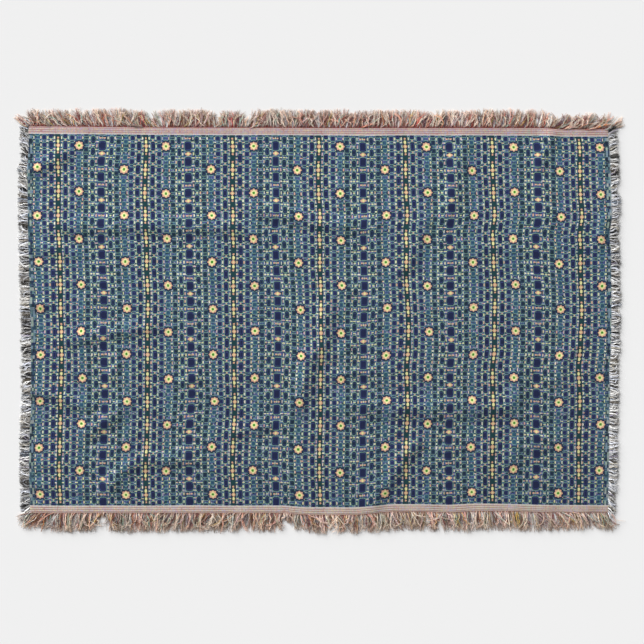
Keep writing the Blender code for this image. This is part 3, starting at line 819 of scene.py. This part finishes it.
def cloth_material(name, settings, reverse):
    """The woven cloth: mosaic field, headings, paler side edges and a plain weave over all."""
    material = bpy.data.materials.new(name)
    material.use_nodes = True
    wiring = Wiring(material.node_tree)
    shader = material.node_tree.nodes["Principled BSDF"]
    places = wiring.add("ShaderNodeUVMap", uv_map="Flat").outputs[0]
    scaled = wiring.add("ShaderNodeSeparateXYZ", (places,)).outputs
    along = wiring.maths("MULTIPLY", scaled[0], 1000.0)
    across = wiring.maths("MULTIPLY", scaled[1], 1000.0)
    colour = wiring.group(
        mosaic_group(), along=along, across=across, ground=settings.ground,
        blocks=settings.blocks, accents=settings.accents).outputs[0]
    edge_in = wiring.maths("SUBTRACT", CLOTH_LENGTH * 500, wiring.maths("ABSOLUTE", along))
    row = wiring.maths("FLOOR", wiring.maths("DIVIDE", across, BORDER_BLOCK[1]))
    column = wiring.maths("FLOOR", wiring.maths("DIVIDE", edge_in, BORDER_BLOCK[0]))
    stops = [(order / len(BORDER_CODES), paint(code)) for order, code in enumerate(BORDER_CODES)]
    border = wiring.ramp(wiring.scatter(row, column), stops, steps=True)
    colour = wiring.blend(wiring.maths("MULTIPLY", wiring.band(edge_in, 8.8, 0.2), 0.72), colour,
                          border)
    on_right = wiring.maths("GREATER_THAN", along, 0.0)
    worn = wiring.maths("MULTIPLY_ADD", on_right, 0.30, 0.05)
    colour = wiring.blend(wiring.maths("MULTIPLY", wiring.band(edge_in, 1.4, 1.0), worn), colour,
                          paint("a4adb4"))
    # Painted shade: the cloth darkens within about 7 mm of its left edge, and barely at the right.
    painted_edge_shade = wiring.maths("MULTIPLY_ADD", on_right, -0.22, 0.24)
    colour = wiring.blend(wiring.maths("MULTIPLY", wiring.band(edge_in, 7.0, 3.0), painted_edge_shade), colour,
                          paint("1c2630"))
    # Painted light: the mosaic alone is paler towards the top, besides the falloff to the upper left.
    painted_rise = wiring.maths("MULTIPLY_ADD", across, PAINTED_LIGHT_RISE, 1.0)
    grey = wiring.add("ShaderNodeCombineXYZ", (painted_rise, painted_rise, painted_rise)).outputs[0]
    colour = wiring.blend(1.0, colour, grey, "MULTIPLY")
    depth = wiring.maths("SUBTRACT", CLOTH_WIDTH * 500, wiring.maths("ABSOLUTE", across))
    at_top = wiring.maths("GREATER_THAN", across, 0.0)
    cloth = wiring.blend(at_top, paint("c6c2b8"), settings.heading)
    line = wiring.blend(at_top, paint("8c6660"), paint("94666a"))
    # Root colours at the woven edges are partly painted shade.
    root = wiring.blend(at_top, paint("9a7468"), paint("7d4a44"))
    heading = wiring.group(heading_group(), along=along, depth=depth, cloth=cloth, line=line,
                           root=root).outputs[0]
    colour = wiring.blend(wiring.band(depth, HEADING_WIDTH * 1000, 0.1), colour, heading)
    weave = wiring.group(weave_group(), along=along, across=across,
                         pitch=settings.yarn_pitch * 1000)
    fluff = wiring.noise(along, across, 0.35, 3.0)
    patches = wiring.noise(along, across, 0.018, 2.0)
    # Painted light: the cloth is paler towards its upper left, where the light comes from.
    painted_falloff = wiring.maths("MULTIPLY_ADD", wiring.maths("SUBTRACT", across, along), PAINTED_LIGHT_FALLOFF, 1.0)
    light = wiring.maths("MULTIPLY", wiring.maths("MULTIPLY_ADD", fluff, 0.28, 0.86),
                         wiring.maths("MULTIPLY_ADD", patches, 0.20, 0.90))
    # The weave's shade output is painted shade in its hollows, times each yarn's tint.
    light = wiring.maths("MULTIPLY", wiring.maths("MULTIPLY", light, painted_falloff),
                         weave.outputs["Shade"])
    grey = wiring.add("ShaderNodeCombineXYZ", (light, light, light)).outputs[0]
    colour = wiring.blend(1.0, colour, grey, "MULTIPLY")
    if reverse:
        pale = wiring.add("ShaderNodeHueSaturation", {"Saturation": 0.6, "Value": 1.15,
                                                      "Color": colour})
        colour = pale.outputs[0]
    wiring.feed(shader.inputs["Base Color"], colour)
    shader.inputs["Roughness"].default_value = 0.92
    shader.inputs["Sheen Weight"].default_value = 0.15
    shader.inputs["Specular IOR Level"].default_value = 0.2
    height = wiring.maths("ADD", weave.outputs["Height"], wiring.maths("MULTIPLY", fluff, 0.6))
    bump = wiring.add("ShaderNodeBump", {"Strength": 0.5, "Distance": 0.0004, "Height": height})
    wiring.feed(shader.inputs["Normal"], bump.outputs[0])
    return material


def yarn_material(fringe, dyes, settings):
    """Loose cotton yarn: its own dye, a root tone partly of painted shade, a tip tone, and plies."""
    material = bpy.data.materials.new(fringe.name.replace("_", " ") + " yarn")
    material.use_nodes = True
    wiring = Wiring(material.node_tree)
    shader = material.node_tree.nodes["Principled BSDF"]
    tone = wiring.add("ShaderNodeAttribute", attribute_name="tone").outputs["Fac"]
    shade = wiring.add("ShaderNodeAttribute", attribute_name="shade").outputs["Fac"]
    share = wiring.add("ShaderNodeAttribute", attribute_name="share").outputs["Fac"]
    stops = [(order / len(dyes), paint(dye.code)) for order, dye in enumerate(dyes)]
    colour = wiring.ramp(tone, stops, steps=True)
    # The root tone is partly the yarn's own colour and partly painted shade where it leaves the cloth.
    root = wiring.maths("MULTIPLY", wiring.band(share, 0.16, 0.08), fringe.root.share)
    colour = wiring.blend(root, colour, paint(fringe.root.code))
    tip = wiring.maths("MULTIPLY_ADD", wiring.band(share, 0.82, 0.18), -fringe.tip.share,
                       fringe.tip.share)
    colour = wiring.blend(tip, colour, paint(fringe.tip.code))
    places = wiring.add("ShaderNodeUVMap", uv_map="Yarn").outputs[0]
    around, along, unused = wiring.add("ShaderNodeSeparateXYZ", (places,)).outputs
    twist = wiring.group(twist_group(), around=around, along=along, twist=settings.twist)
    # Painted shade: each yarn is darker in the grooves between its plies.
    dark = wiring.maths("MULTIPLY_ADD", twist.outputs[0], 0.72, 0.70)
    light = wiring.maths("MULTIPLY", dark, wiring.maths("MULTIPLY_ADD", shade, 1.14, 0.44))
    grey = wiring.add("ShaderNodeCombineXYZ", (light, light, light)).outputs[0]
    colour = wiring.blend(1.0, colour, grey, "MULTIPLY")
    wiring.feed(shader.inputs["Base Color"], colour)
    shader.inputs["Roughness"].default_value = 0.92
    shader.inputs["Sheen Weight"].default_value = 0.2
    shader.inputs["Specular IOR Level"].default_value = 0.2
    bump = wiring.add("ShaderNodeBump", {"Strength": 0.6, "Distance": 0.0003,
                                         "Height": twist.outputs[0]})
    wiring.feed(shader.inputs["Normal"], bump.outputs[0])
    return material


def plain_material(name, colour, roughness):
    """A smooth material of one colour for what isn't part of the throw."""
    material = bpy.data.materials.new(name)
    material.use_nodes = True
    shader = material.node_tree.nodes["Principled BSDF"]
    shader.inputs["Base Color"].default_value = colour
    shader.inputs["Roughness"].default_value = roughness
    shader.inputs["Specular IOR Level"].default_value = 0.0
    return material


# Meshes


def place_piece(name, mesh):
    """Put a mesh in the scene as a named piece, in place of an older one."""
    old = bpy.data.objects.get(name)
    if old is not None:
        bpy.data.objects.remove(old, do_unlink=True)
    mesh.name = name
    piece = bpy.data.objects.new(name, mesh)
    bpy.context.scene.collection.objects.link(piece)
    return piece


def weave_sheet(settings):
    """Make the sheet's mesh: a creased grid, thickened, with its rim rounded off."""
    columns = round(CLOTH_LENGTH / settings.grid_step)
    rows = round(CLOTH_WIDTH / settings.grid_step)
    shape = bmesh.new()
    bmesh.ops.create_grid(shape, x_segments=columns, y_segments=rows, size=1.0)
    mesh = bpy.data.meshes.new("sheet")
    shape.to_mesh(mesh)
    shape.free()
    points = np.empty(len(mesh.vertices) * 3)
    mesh.vertices.foreach_get("co", points)
    u, v = points.reshape(-1, 3)[:, :2].T
    flat = np.stack((u * CLOTH_LENGTH / 2, v * CLOTH_WIDTH / 2), axis=-1)
    spots = plan(u, v)
    pucker = settings.pucker * (0.5 + 0.5 * slow_waves(PUCKER_WAVES, spots))
    height = crease_height(spots) + pucker + CLOTH_THICKNESS
    mesh.vertices.foreach_set("co", np.column_stack((spots + FLOOR_SHIFT, height)).ravel())
    woven = flat.copy()
    inner = ease((1 - np.abs(v)) * CLOTH_WIDTH / 2 / 0.05)
    woven[:, 0] += settings.wander * slow_waves(WANDER_WAVES, spots, 0.5)
    woven[:, 1] += settings.wander * slow_waves(WANDER_WAVES, spots[:, ::-1], 2.0) * inner
    write_uv(mesh, "Flat", woven)
    write_uv(mesh, "OFBake", np.column_stack((0.5 + 0.495 * u, 0.67 + 0.325 * v)))
    piece = place_piece("blanket", mesh)
    thicken = piece.modifiers.new("thickness", "SOLIDIFY")
    thicken.thickness = CLOTH_THICKNESS
    thicken.offset = -1.0
    thicken.material_offset = 1
    rounding = piece.modifiers.new("rounded rim", "BEVEL")
    rounding.width = CLOTH_THICKNESS * 0.35
    rounding.segments = 2
    rounding.limit_method = "ANGLE"
    rounding.angle_limit = math.radians(70)
    piece.data.materials.append(cloth_material("woven cotton", settings, reverse=False))
    piece.data.materials.append(cloth_material("woven cotton reverse", settings, reverse=True))
    graph = bpy.context.evaluated_depsgraph_get()
    finished = bpy.data.meshes.new_from_object(piece.evaluated_get(graph))
    piece.modifiers.clear()
    piece.data = finished
    bpy.data.meshes.remove(mesh)
    finished.name = "blanket"
    finished.shade_smooth()
    lower_reverse_uv(finished)
    return piece


def write_uv(mesh, name, spots):
    """Give each corner of a mesh the place of its vertex in a UV map."""
    layer = mesh.uv_layers.new(name=name)
    corners = np.empty(len(mesh.loops), dtype=np.int32)
    mesh.loops.foreach_get("vertex_index", corners)
    layer.data.foreach_set("uv", spots[corners].ravel().astype(np.float32))


def lower_reverse_uv(mesh):
    """Move the underside's share of the baking map below that of the top."""
    layer = mesh.uv_layers["OFBake"]
    spots = np.empty(len(mesh.loops) * 2, dtype=np.float32)
    layer.data.foreach_get("uv", spots)
    spots = spots.reshape(-1, 2)
    for face in mesh.polygons:
        if face.normal.z < -0.5:
            loops = slice(face.loop_start, face.loop_start + face.loop_total)
            spots[loops, 1] = (spots[loops, 1] - 0.34) / 0.66 * 0.325 + 0.003
    layer.data.foreach_set("uv", spots.ravel())


def edge_line(side, share):
    """Give places on a woven edge, at -1 to 1 along it."""
    ones = np.ones_like(share)
    if side == "top":
        return plan(share, ones)
    if side == "bottom":
        return plan(share, -ones)
    if side == "left":
        return plan(-ones, share)
    return plan(ones, share)


OUTWARD = {"top": (0, 1), "bottom": (0, -1), "left": (-1, 0), "right": (1, 0)}
PATCH_RUN = 3.5           # locks in a patch of one dye
YARN_INSET = 0.0025       # how far a yarn's root reaches into the cloth's edge
WAVE_LENGTH = 0.0135      # of the bends along a loose yarn
STRAND_TURNS = 62.0       # how often a strand's yarns go round each other in a metre


def number_runs(count, run, chance):
    """Number things in runs of about the given length."""
    return np.repeat(np.arange(count), chance.poisson(run - 1, count) + 1)[:count]


def gather_locks(fringe, chance):
    """Number the lock of each yarn; even locks are strands on top, odd ones lie below."""
    locks = np.arange(fringe.yarns)
    run = np.where(locks % 2 == 0, fringe.strand_run, fringe.body_run)
    counts = np.maximum(np.rint(run + chance.normal(0, 0.3 * run)), 1).astype(int)
    return np.repeat(locks, counts)[:fringe.yarns]


def choose_tones(fringe, locks, odds, chance):
    """Pick a dye for each yarn: that of its patch, that of its lock, or any of its own row."""
    count = len(locks)
    lock_count = locks.max() + 1
    patches = number_runs(lock_count, PATCH_RUN, chance)
    picks = np.stack((chance.random(lock_count)[patches][locks],
                      chance.random(lock_count)[locks], chance.random(count)))
    level = np.searchsorted(fringe.alike, chance.random(count))
    pick = picks[level, np.arange(count)]
    odds = np.cumsum(odds, axis=0)
    picked = (pick * odds[-1] > odds).sum(axis=0)
    return (picked + 0.5) / len(odds)


def drift(along, spacing, chance):
    """Wander smoothly along an edge, by about 1, with a turn at each spacing."""
    knots = np.arange(along.min() - spacing, along.max() + 2 * spacing, spacing)
    return read_marks(np.column_stack((knots, chance.normal(0, 1, len(knots)))), along)


def yarn_paths(fringe, radius, locks, chance):
    """Lay out the middle line of each yarn: (yarn, ring) arrays of along, outwards and up."""
    count = fringe.yarns
    edge = CLOTH_LENGTH if fringe.side in ("top", "bottom") else CLOTH_WIDTH
    half = edge / 2 - radius
    roots = np.linspace(-half, half, count) + chance.normal(0, 0.3 * edge / count, count)
    roots = np.sort(np.clip(roots, -half, half))
    centres = (np.bincount(locks, roots) / np.bincount(locks))[locks]
    on_top = locks % 2 == 0

    def draw(strand, loose):
        """Draw a number for each yarn: near its neighbours' in a strand, less so below."""
        own = chance.normal(0, 1, count)
        shared = chance.normal(0, 1, locks.max() + 1)[locks]
        held = strand * (shared + 0.14 * own)
        return np.where(on_top, held, loose * (0.8 * shared + 0.6 * own))[:, None]

    share = 0.96 + 0.022 * drift(roots, 0.010, chance) - 0.08 * chance.random(count) ** 2
    opening = np.zeros(count)
    for parting in fringe.partings:
        offset = roots - parting.along
        share = share - parting.depth * ease(1 - np.abs(offset) / parting.half_width)
        nearness = ease(1 - np.abs(offset) / (2.5 * parting.half_width))
        opening += np.sign(offset) * nearness * parting.depth * parting.half_width
    length = fringe.length * (share[:, None] + draw(fringe.ragged, fringe.ragged))

    step = np.linspace(0, 1, fringe.rings)[None, :]
    lean = read_marks(fringe.lean, roots) + 0.35 * fringe.spread * drift(roots, 0.012, chance)
    heading = np.arctan(lean)[:, None] + draw(fringe.spread, 0.55 * fringe.spread)
    heading = heading + 2 * opening[:, None] / fringe.length * step
    heading = heading + draw(0.30, 0.20) * (2 * step - 1)
    heading = heading + np.clip(draw(0.80, 0.80), -1.35, 1.35) ** 3 * step ** 2
    free = length * step
    bends = 2 * np.pi * free / (WAVE_LENGTH * (1 + np.clip(draw(0.2, 0.2), -0.5, 0.5)))
    size = np.abs(draw(fringe.curl, 0.6 * fringe.curl)) * ease(step * 2)
    heading = heading + size * np.sin(bends + draw(2.0, 2.0))
    heading = np.clip(heading, -1.5, 1.5)
    middle = (heading[:, 1:] + heading[:, :-1]) / 2
    run = length / (fringe.rings - 1)
    start = np.zeros((count, 1))
    aside = np.hstack((start, np.cumsum(np.sin(middle) * run, axis=1)))
    out = np.hstack((start, np.cumsum(np.cos(middle) * run, axis=1))) - YARN_INSET * (1 - step)

    gathered = (on_top * (centres - roots))[:, None] * fringe.gather * ease(step * 1.5)
    order = np.arange(count) - np.searchsorted(locks, locks)
    round_strand = 2 * np.pi * (order / np.bincount(locks)[locks])[:, None]
    round_strand = round_strand + 2 * np.pi * STRAND_TURNS * free + draw(2.0, 2.0)
    coil = (1.1 * radius * on_top)[:, None] * ease(step * 2)
    aside = aside + coil * np.cos(round_strand)

    layer = fringe.pile * np.where(on_top, 1.0, chance.uniform(0.2, 0.8, count))[:, None]
    layer = layer + np.abs(draw(1.6, 1.3)) + 0.3 * chance.random((count, 1))
    arch = np.abs(draw(0.0008, 0.0004)) * np.sin(np.pi * step)
    rest = radius * layer * (1 - 0.15 * step ** 2) + arch + coil * np.sin(round_strand)
    root_height = CLOTH_THICKNESS * 0.5
    up = root_height + (np.maximum(rest, radius * 1.05) - root_height) * ease(step / 0.3)
    return np.stack((roots[:, None] + gathered + aside, out, up), axis=-1)


def bring_to_edge(fringe, path):
    """Bring straight paths to their woven edge, lifted where a crease runs off it."""
    half = (CLOTH_LENGTH if fringe.side in ("top", "bottom") else CLOTH_WIDTH) / 2
    share = path[..., 0] / half
    outward = np.array(OUTWARD[fringe.side])
    spots = edge_line(fringe.side, share) + outward * path[..., 1:2]
    held = edge_line(fringe.side, np.clip(share, -1, 1))
    settled = np.clip(path[..., 1] / fringe.length, 0, 1)
    lift = crease_height(held.reshape(-1, 2)).reshape(share.shape) * (1 - settled) ** 2
    return np.concatenate((spots + FLOOR_SHIFT, (path[..., 2] + lift)[..., None]), axis=-1)


def tube_mesh(name, path, radii, sides):
    """Join a closed round tube along each path into one mesh, with its UV maps."""
    count, rings = radii.shape
    ahead = np.gradient(path, axis=1)
    ahead /= np.linalg.norm(ahead, axis=2, keepdims=True)
    level = np.cross((0.0, 0.0, 1.0), ahead)
    level /= np.linalg.norm(level, axis=2, keepdims=True)
    above = np.cross(ahead, level)
    turn = 2 * np.pi * np.arange(sides) / sides
    ring = (level[:, :, None] * np.cos(turn)[:, None] + above[:, :, None] * np.sin(turn)[:, None])
    points = path[:, :, None] + ring * radii[:, :, None, None]
    points[..., 2] = np.maximum(points[..., 2], 0.00002)

    corner = np.arange(count * rings * sides).reshape(count, rings, sides)
    beside = np.roll(corner, -1, axis=2)
    quads = np.stack((corner[:, :-1], beside[:, :-1], beside[:, 1:], corner[:, 1:]), axis=-1)
    faces = quads.reshape(-1, 4).tolist()
    faces += corner[:, 0, ::-1].tolist()
    faces += corner[:, -1].tolist()
    mesh = bpy.data.meshes.new(name)
    mesh.from_pydata(points.reshape(-1, 3).tolist(), [], faces)

    travelled = np.linalg.norm(np.diff(path, axis=1, prepend=path[:, :1]), axis=2).cumsum(axis=1)
    around = np.arange(sides + 1) / sides
    low, high = around[:-1], around[1:]
    shape = (count, rings - 1, sides)
    start = np.broadcast_to(travelled[:, :-1, None], shape)
    end = np.broadcast_to(travelled[:, 1:, None], shape)
    left = np.broadcast_to(low, shape)
    right = np.broadcast_to(high, shape)
    skin = np.stack((left, start, right, start, right, end, left, end), axis=-1).reshape(-1, 2)
    root_cap = np.broadcast_to(np.stack((low, 0 * low), axis=-1), (count, sides, 2))
    tip = np.stack((np.broadcast_to(low, (count, sides)),
                    np.broadcast_to(travelled[:, -1:], (count, sides))), axis=-1)
    yarn_uv = np.concatenate((skin, root_cap.reshape(-1, 2), tip.reshape(-1, 2)))
    layer = mesh.uv_layers.new(name="Yarn")
    layer.data.foreach_set("uv", yarn_uv.ravel().astype(np.float32))

    wide = math.ceil(math.sqrt(count))
    order = np.arange(count)
    cell = np.stack((order % wide, order // wide), axis=-1) / wide
    cell_of = np.concatenate((np.repeat(cell, (rings - 1) * sides * 4, axis=0),
                              np.repeat(cell, sides, axis=0), np.repeat(cell, sides, axis=0)))
    inside = yarn_uv / (1.0, travelled.max())
    bake = mesh.uv_layers.new(name="OFBake")
    bake.data.foreach_set("uv", (cell_of + (0.1 + 0.8 * inside) / wide).ravel().astype(np.float32))
    mesh.shade_smooth()
    return mesh


def write_numbers(mesh, name, numbers):
    """Store one number for each vertex under a name that materials can read."""
    attribute = mesh.attributes.new(name, "FLOAT", "POINT")
    attribute.data.foreach_set("value", np.ascontiguousarray(numbers, dtype=np.float32).ravel())


def lay_fringe(fringe, radius, dyes, odds, settings):
    """Make one fringe of loose yarns and put it on its woven edge."""
    chance = np.random.default_rng(fringe.seed)
    rings = fringe.rings
    locks = gather_locks(fringe, chance)
    path = bring_to_edge(fringe, yarn_paths(fringe, radius, locks, chance))
    thick = radius * chance.uniform(0.85, 1.2, (fringe.yarns, 1))
    taper = 1 - 0.30 * ease((np.linspace(0, 1, rings) - 0.75) / 0.25)
    radii = thick * taper[None, :] * chance.uniform(0.92, 1.08, (fringe.yarns, rings))
    mesh = tube_mesh(fringe.name, path, radii, settings.sides)
    each = (fringe.yarns, rings, settings.sides)
    in_row = np.array([dye.on_top for dye in dyes])[:, None] == (locks % 2 == 0)
    tones = choose_tones(fringe, locks, np.array(odds)[:, None] * in_row, chance)
    write_numbers(mesh, "tone", np.broadcast_to(tones[:, None, None], each))
    shade = 0.65 * chance.random(locks.max() + 1)[locks] + 0.35 * chance.random(fringe.yarns)
    write_numbers(mesh, "shade", np.broadcast_to(shade[:, None, None], each))
    share = np.linspace(0, 1, rings)
    write_numbers(mesh, "share", np.broadcast_to(share[None, :, None], each))
    mesh.materials.append(yarn_material(fringe, dyes, settings))
    return place_piece(fringe.name, mesh)


def lay_pair(fringes, radius, dyes, settings):
    """Make the two fringes of one kind of yarn, each in place of its plain strands."""
    odds = ([dye.first for dye in dyes], [dye.second for dye in dyes])
    for fringe, often in zip(fringes, odds):
        piece = lay_fringe(fringe, radius, dyes, often, settings)
        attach(piece, "root")
        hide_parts(fringe.node)


# Operators


class THROW_OT_warp_fringe(bpy.types.Operator):
    """Lay the many-coloured warp yarns past the two headings."""

    bl_idname = "throw.warp_fringe"
    bl_label = "Lay Warp Fringe"
    bl_options = {"REGISTER", "UNDO"}

    def execute(self, context):
        settings = context.scene.throw_fringe
        lay_pair(WARP_FRINGES, settings.warp_radius, WARP_DYES, settings)
        return {"FINISHED"}


class THROW_OT_weft_fringe(bpy.types.Operator):
    """Lay the pale and dark weft yarns past the two side edges."""

    bl_idname = "throw.weft_fringe"
    bl_label = "Lay Weft Fringe"
    bl_options = {"REGISTER", "UNDO"}

    def execute(self, context):
        settings = context.scene.throw_fringe
        lay_pair(WEFT_FRINGES, settings.weft_radius, WEFT_DYES, settings)
        return {"FINISHED"}


class THROW_OT_cloth(bpy.types.Operator):
    """Weave the sheet with its mosaic field, headings and creases."""

    bl_idname = "throw.cloth"
    bl_label = "Weave Cloth"
    bl_options = {"REGISTER", "UNDO"}

    def execute(self, context):
        piece = weave_sheet(context.scene.throw_cloth)
        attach(piece, "root")
        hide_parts("cloth")
        return {"FINISHED"}


class THROW_OT_stage(bpy.types.Operator):
    """Set the floor, the light and the camera straight above."""

    bl_idname = "throw.stage"
    bl_label = "Set Stage"
    bl_options = {"REGISTER", "UNDO"}

    def execute(self, context):
        settings = context.scene.throw_stage
        build_floor(settings)
        build_light(context.scene, settings)
        build_camera(context.scene, settings)
        return {"FINISHED"}


FLOOR_SIZE = 12.0
FLOOR_DROP = 0.0004       # the floor lies this far under the throw, so that no faces coincide
SUN_DIRECTION = (-0.65, 0.85, 0.75)      # towards the light
CAMERA_PLACE = (0.0056, -0.0032)        # where the middle of the picture falls on the floor


def build_floor(settings):
    """Lay a plain pale floor."""
    shape = bmesh.new()
    bmesh.ops.create_grid(shape, x_segments=1, y_segments=1, size=FLOOR_SIZE / 2)
    mesh = bpy.data.meshes.new("floor")
    shape.to_mesh(mesh)
    shape.free()
    mesh.materials.append(plain_material("pale floor", settings.floor, 1.0))
    floor = place_piece("floor", mesh)
    floor.location.z = -FLOOR_DROP


def build_light(scene, settings):
    """Light the throw softly from the upper left, with even light from all round."""
    sun = bpy.data.lights.new("soft light", "SUN")
    sun.energy = settings.sun
    sun.angle = settings.sun_softness
    lamp = bpy.data.objects.new("soft light", sun)
    lamp.rotation_mode = "QUATERNION"
    lamp.rotation_quaternion = Vector(SUN_DIRECTION).to_track_quat("Z", "Y")
    scene.collection.objects.link(lamp)
    world = bpy.data.worlds.new("even light")
    world.use_nodes = True
    sky = world.node_tree.nodes["Background"]
    sky.inputs["Color"].default_value = (1.0, 1.0, 1.0, 1.0)
    sky.inputs["Strength"].default_value = settings.sky
    scene.world = world
    scene.view_settings.view_transform = "Standard"


def build_camera(scene, settings):
    """Look straight down from above the middle."""
    data = bpy.data.cameras.new("camera")
    data.lens = settings.lens
    camera = bpy.data.objects.new("camera", data)
    camera.location = (*CAMERA_PLACE, settings.camera_height)
    scene.collection.objects.link(camera)
    scene.camera = camera


class THROW_PT_panel(bpy.types.Panel):
    """Lists the pieces of the throw and their settings."""

    bl_idname = "THROW_PT_panel"
    bl_label = "Woven Throw"
    bl_space_type = "VIEW_3D"
    bl_region_type = "UI"
    bl_category = "Throw"

    def draw(self, context):
        layout = self.layout
        for operator, group in STEPS:
            box = layout.box()
            box.operator(operator.bl_idname)
            settings = getattr(context.scene, group)
            for name in settings.__annotations__:
                box.prop(settings, name)


STEPS = (
    (THROW_OT_warp_fringe, "throw_fringe"),
    (THROW_OT_weft_fringe, "throw_fringe"),
    (THROW_OT_cloth, "throw_cloth"),
    (THROW_OT_stage, "throw_stage"),
)
SETTINGS = {
    "throw_cloth": ThrowClothSettings,
    "throw_fringe": ThrowFringeSettings,
    "throw_stage": ThrowStageSettings,
}
CLASSES = (
    *SETTINGS.values(), *(operator for operator, group in STEPS), THROW_PT_panel,
)


def register():
    for kind in CLASSES:
        bpy.utils.register_class(kind)
    for name, kind in SETTINGS.items():
        setattr(bpy.types.Scene, name, PointerProperty(type=kind))


def unregister():
    for name in SETTINGS:
        delattr(bpy.types.Scene, name)
    for kind in reversed(CLASSES):
        bpy.utils.unregister_class(kind)


def main():
    register()
    bpy.ops.throw.warp_fringe()
    bpy.ops.throw.weft_fringe()
    bpy.ops.throw.cloth()
    bpy.ops.throw.stage()


if __name__ == "__main__":
    main()
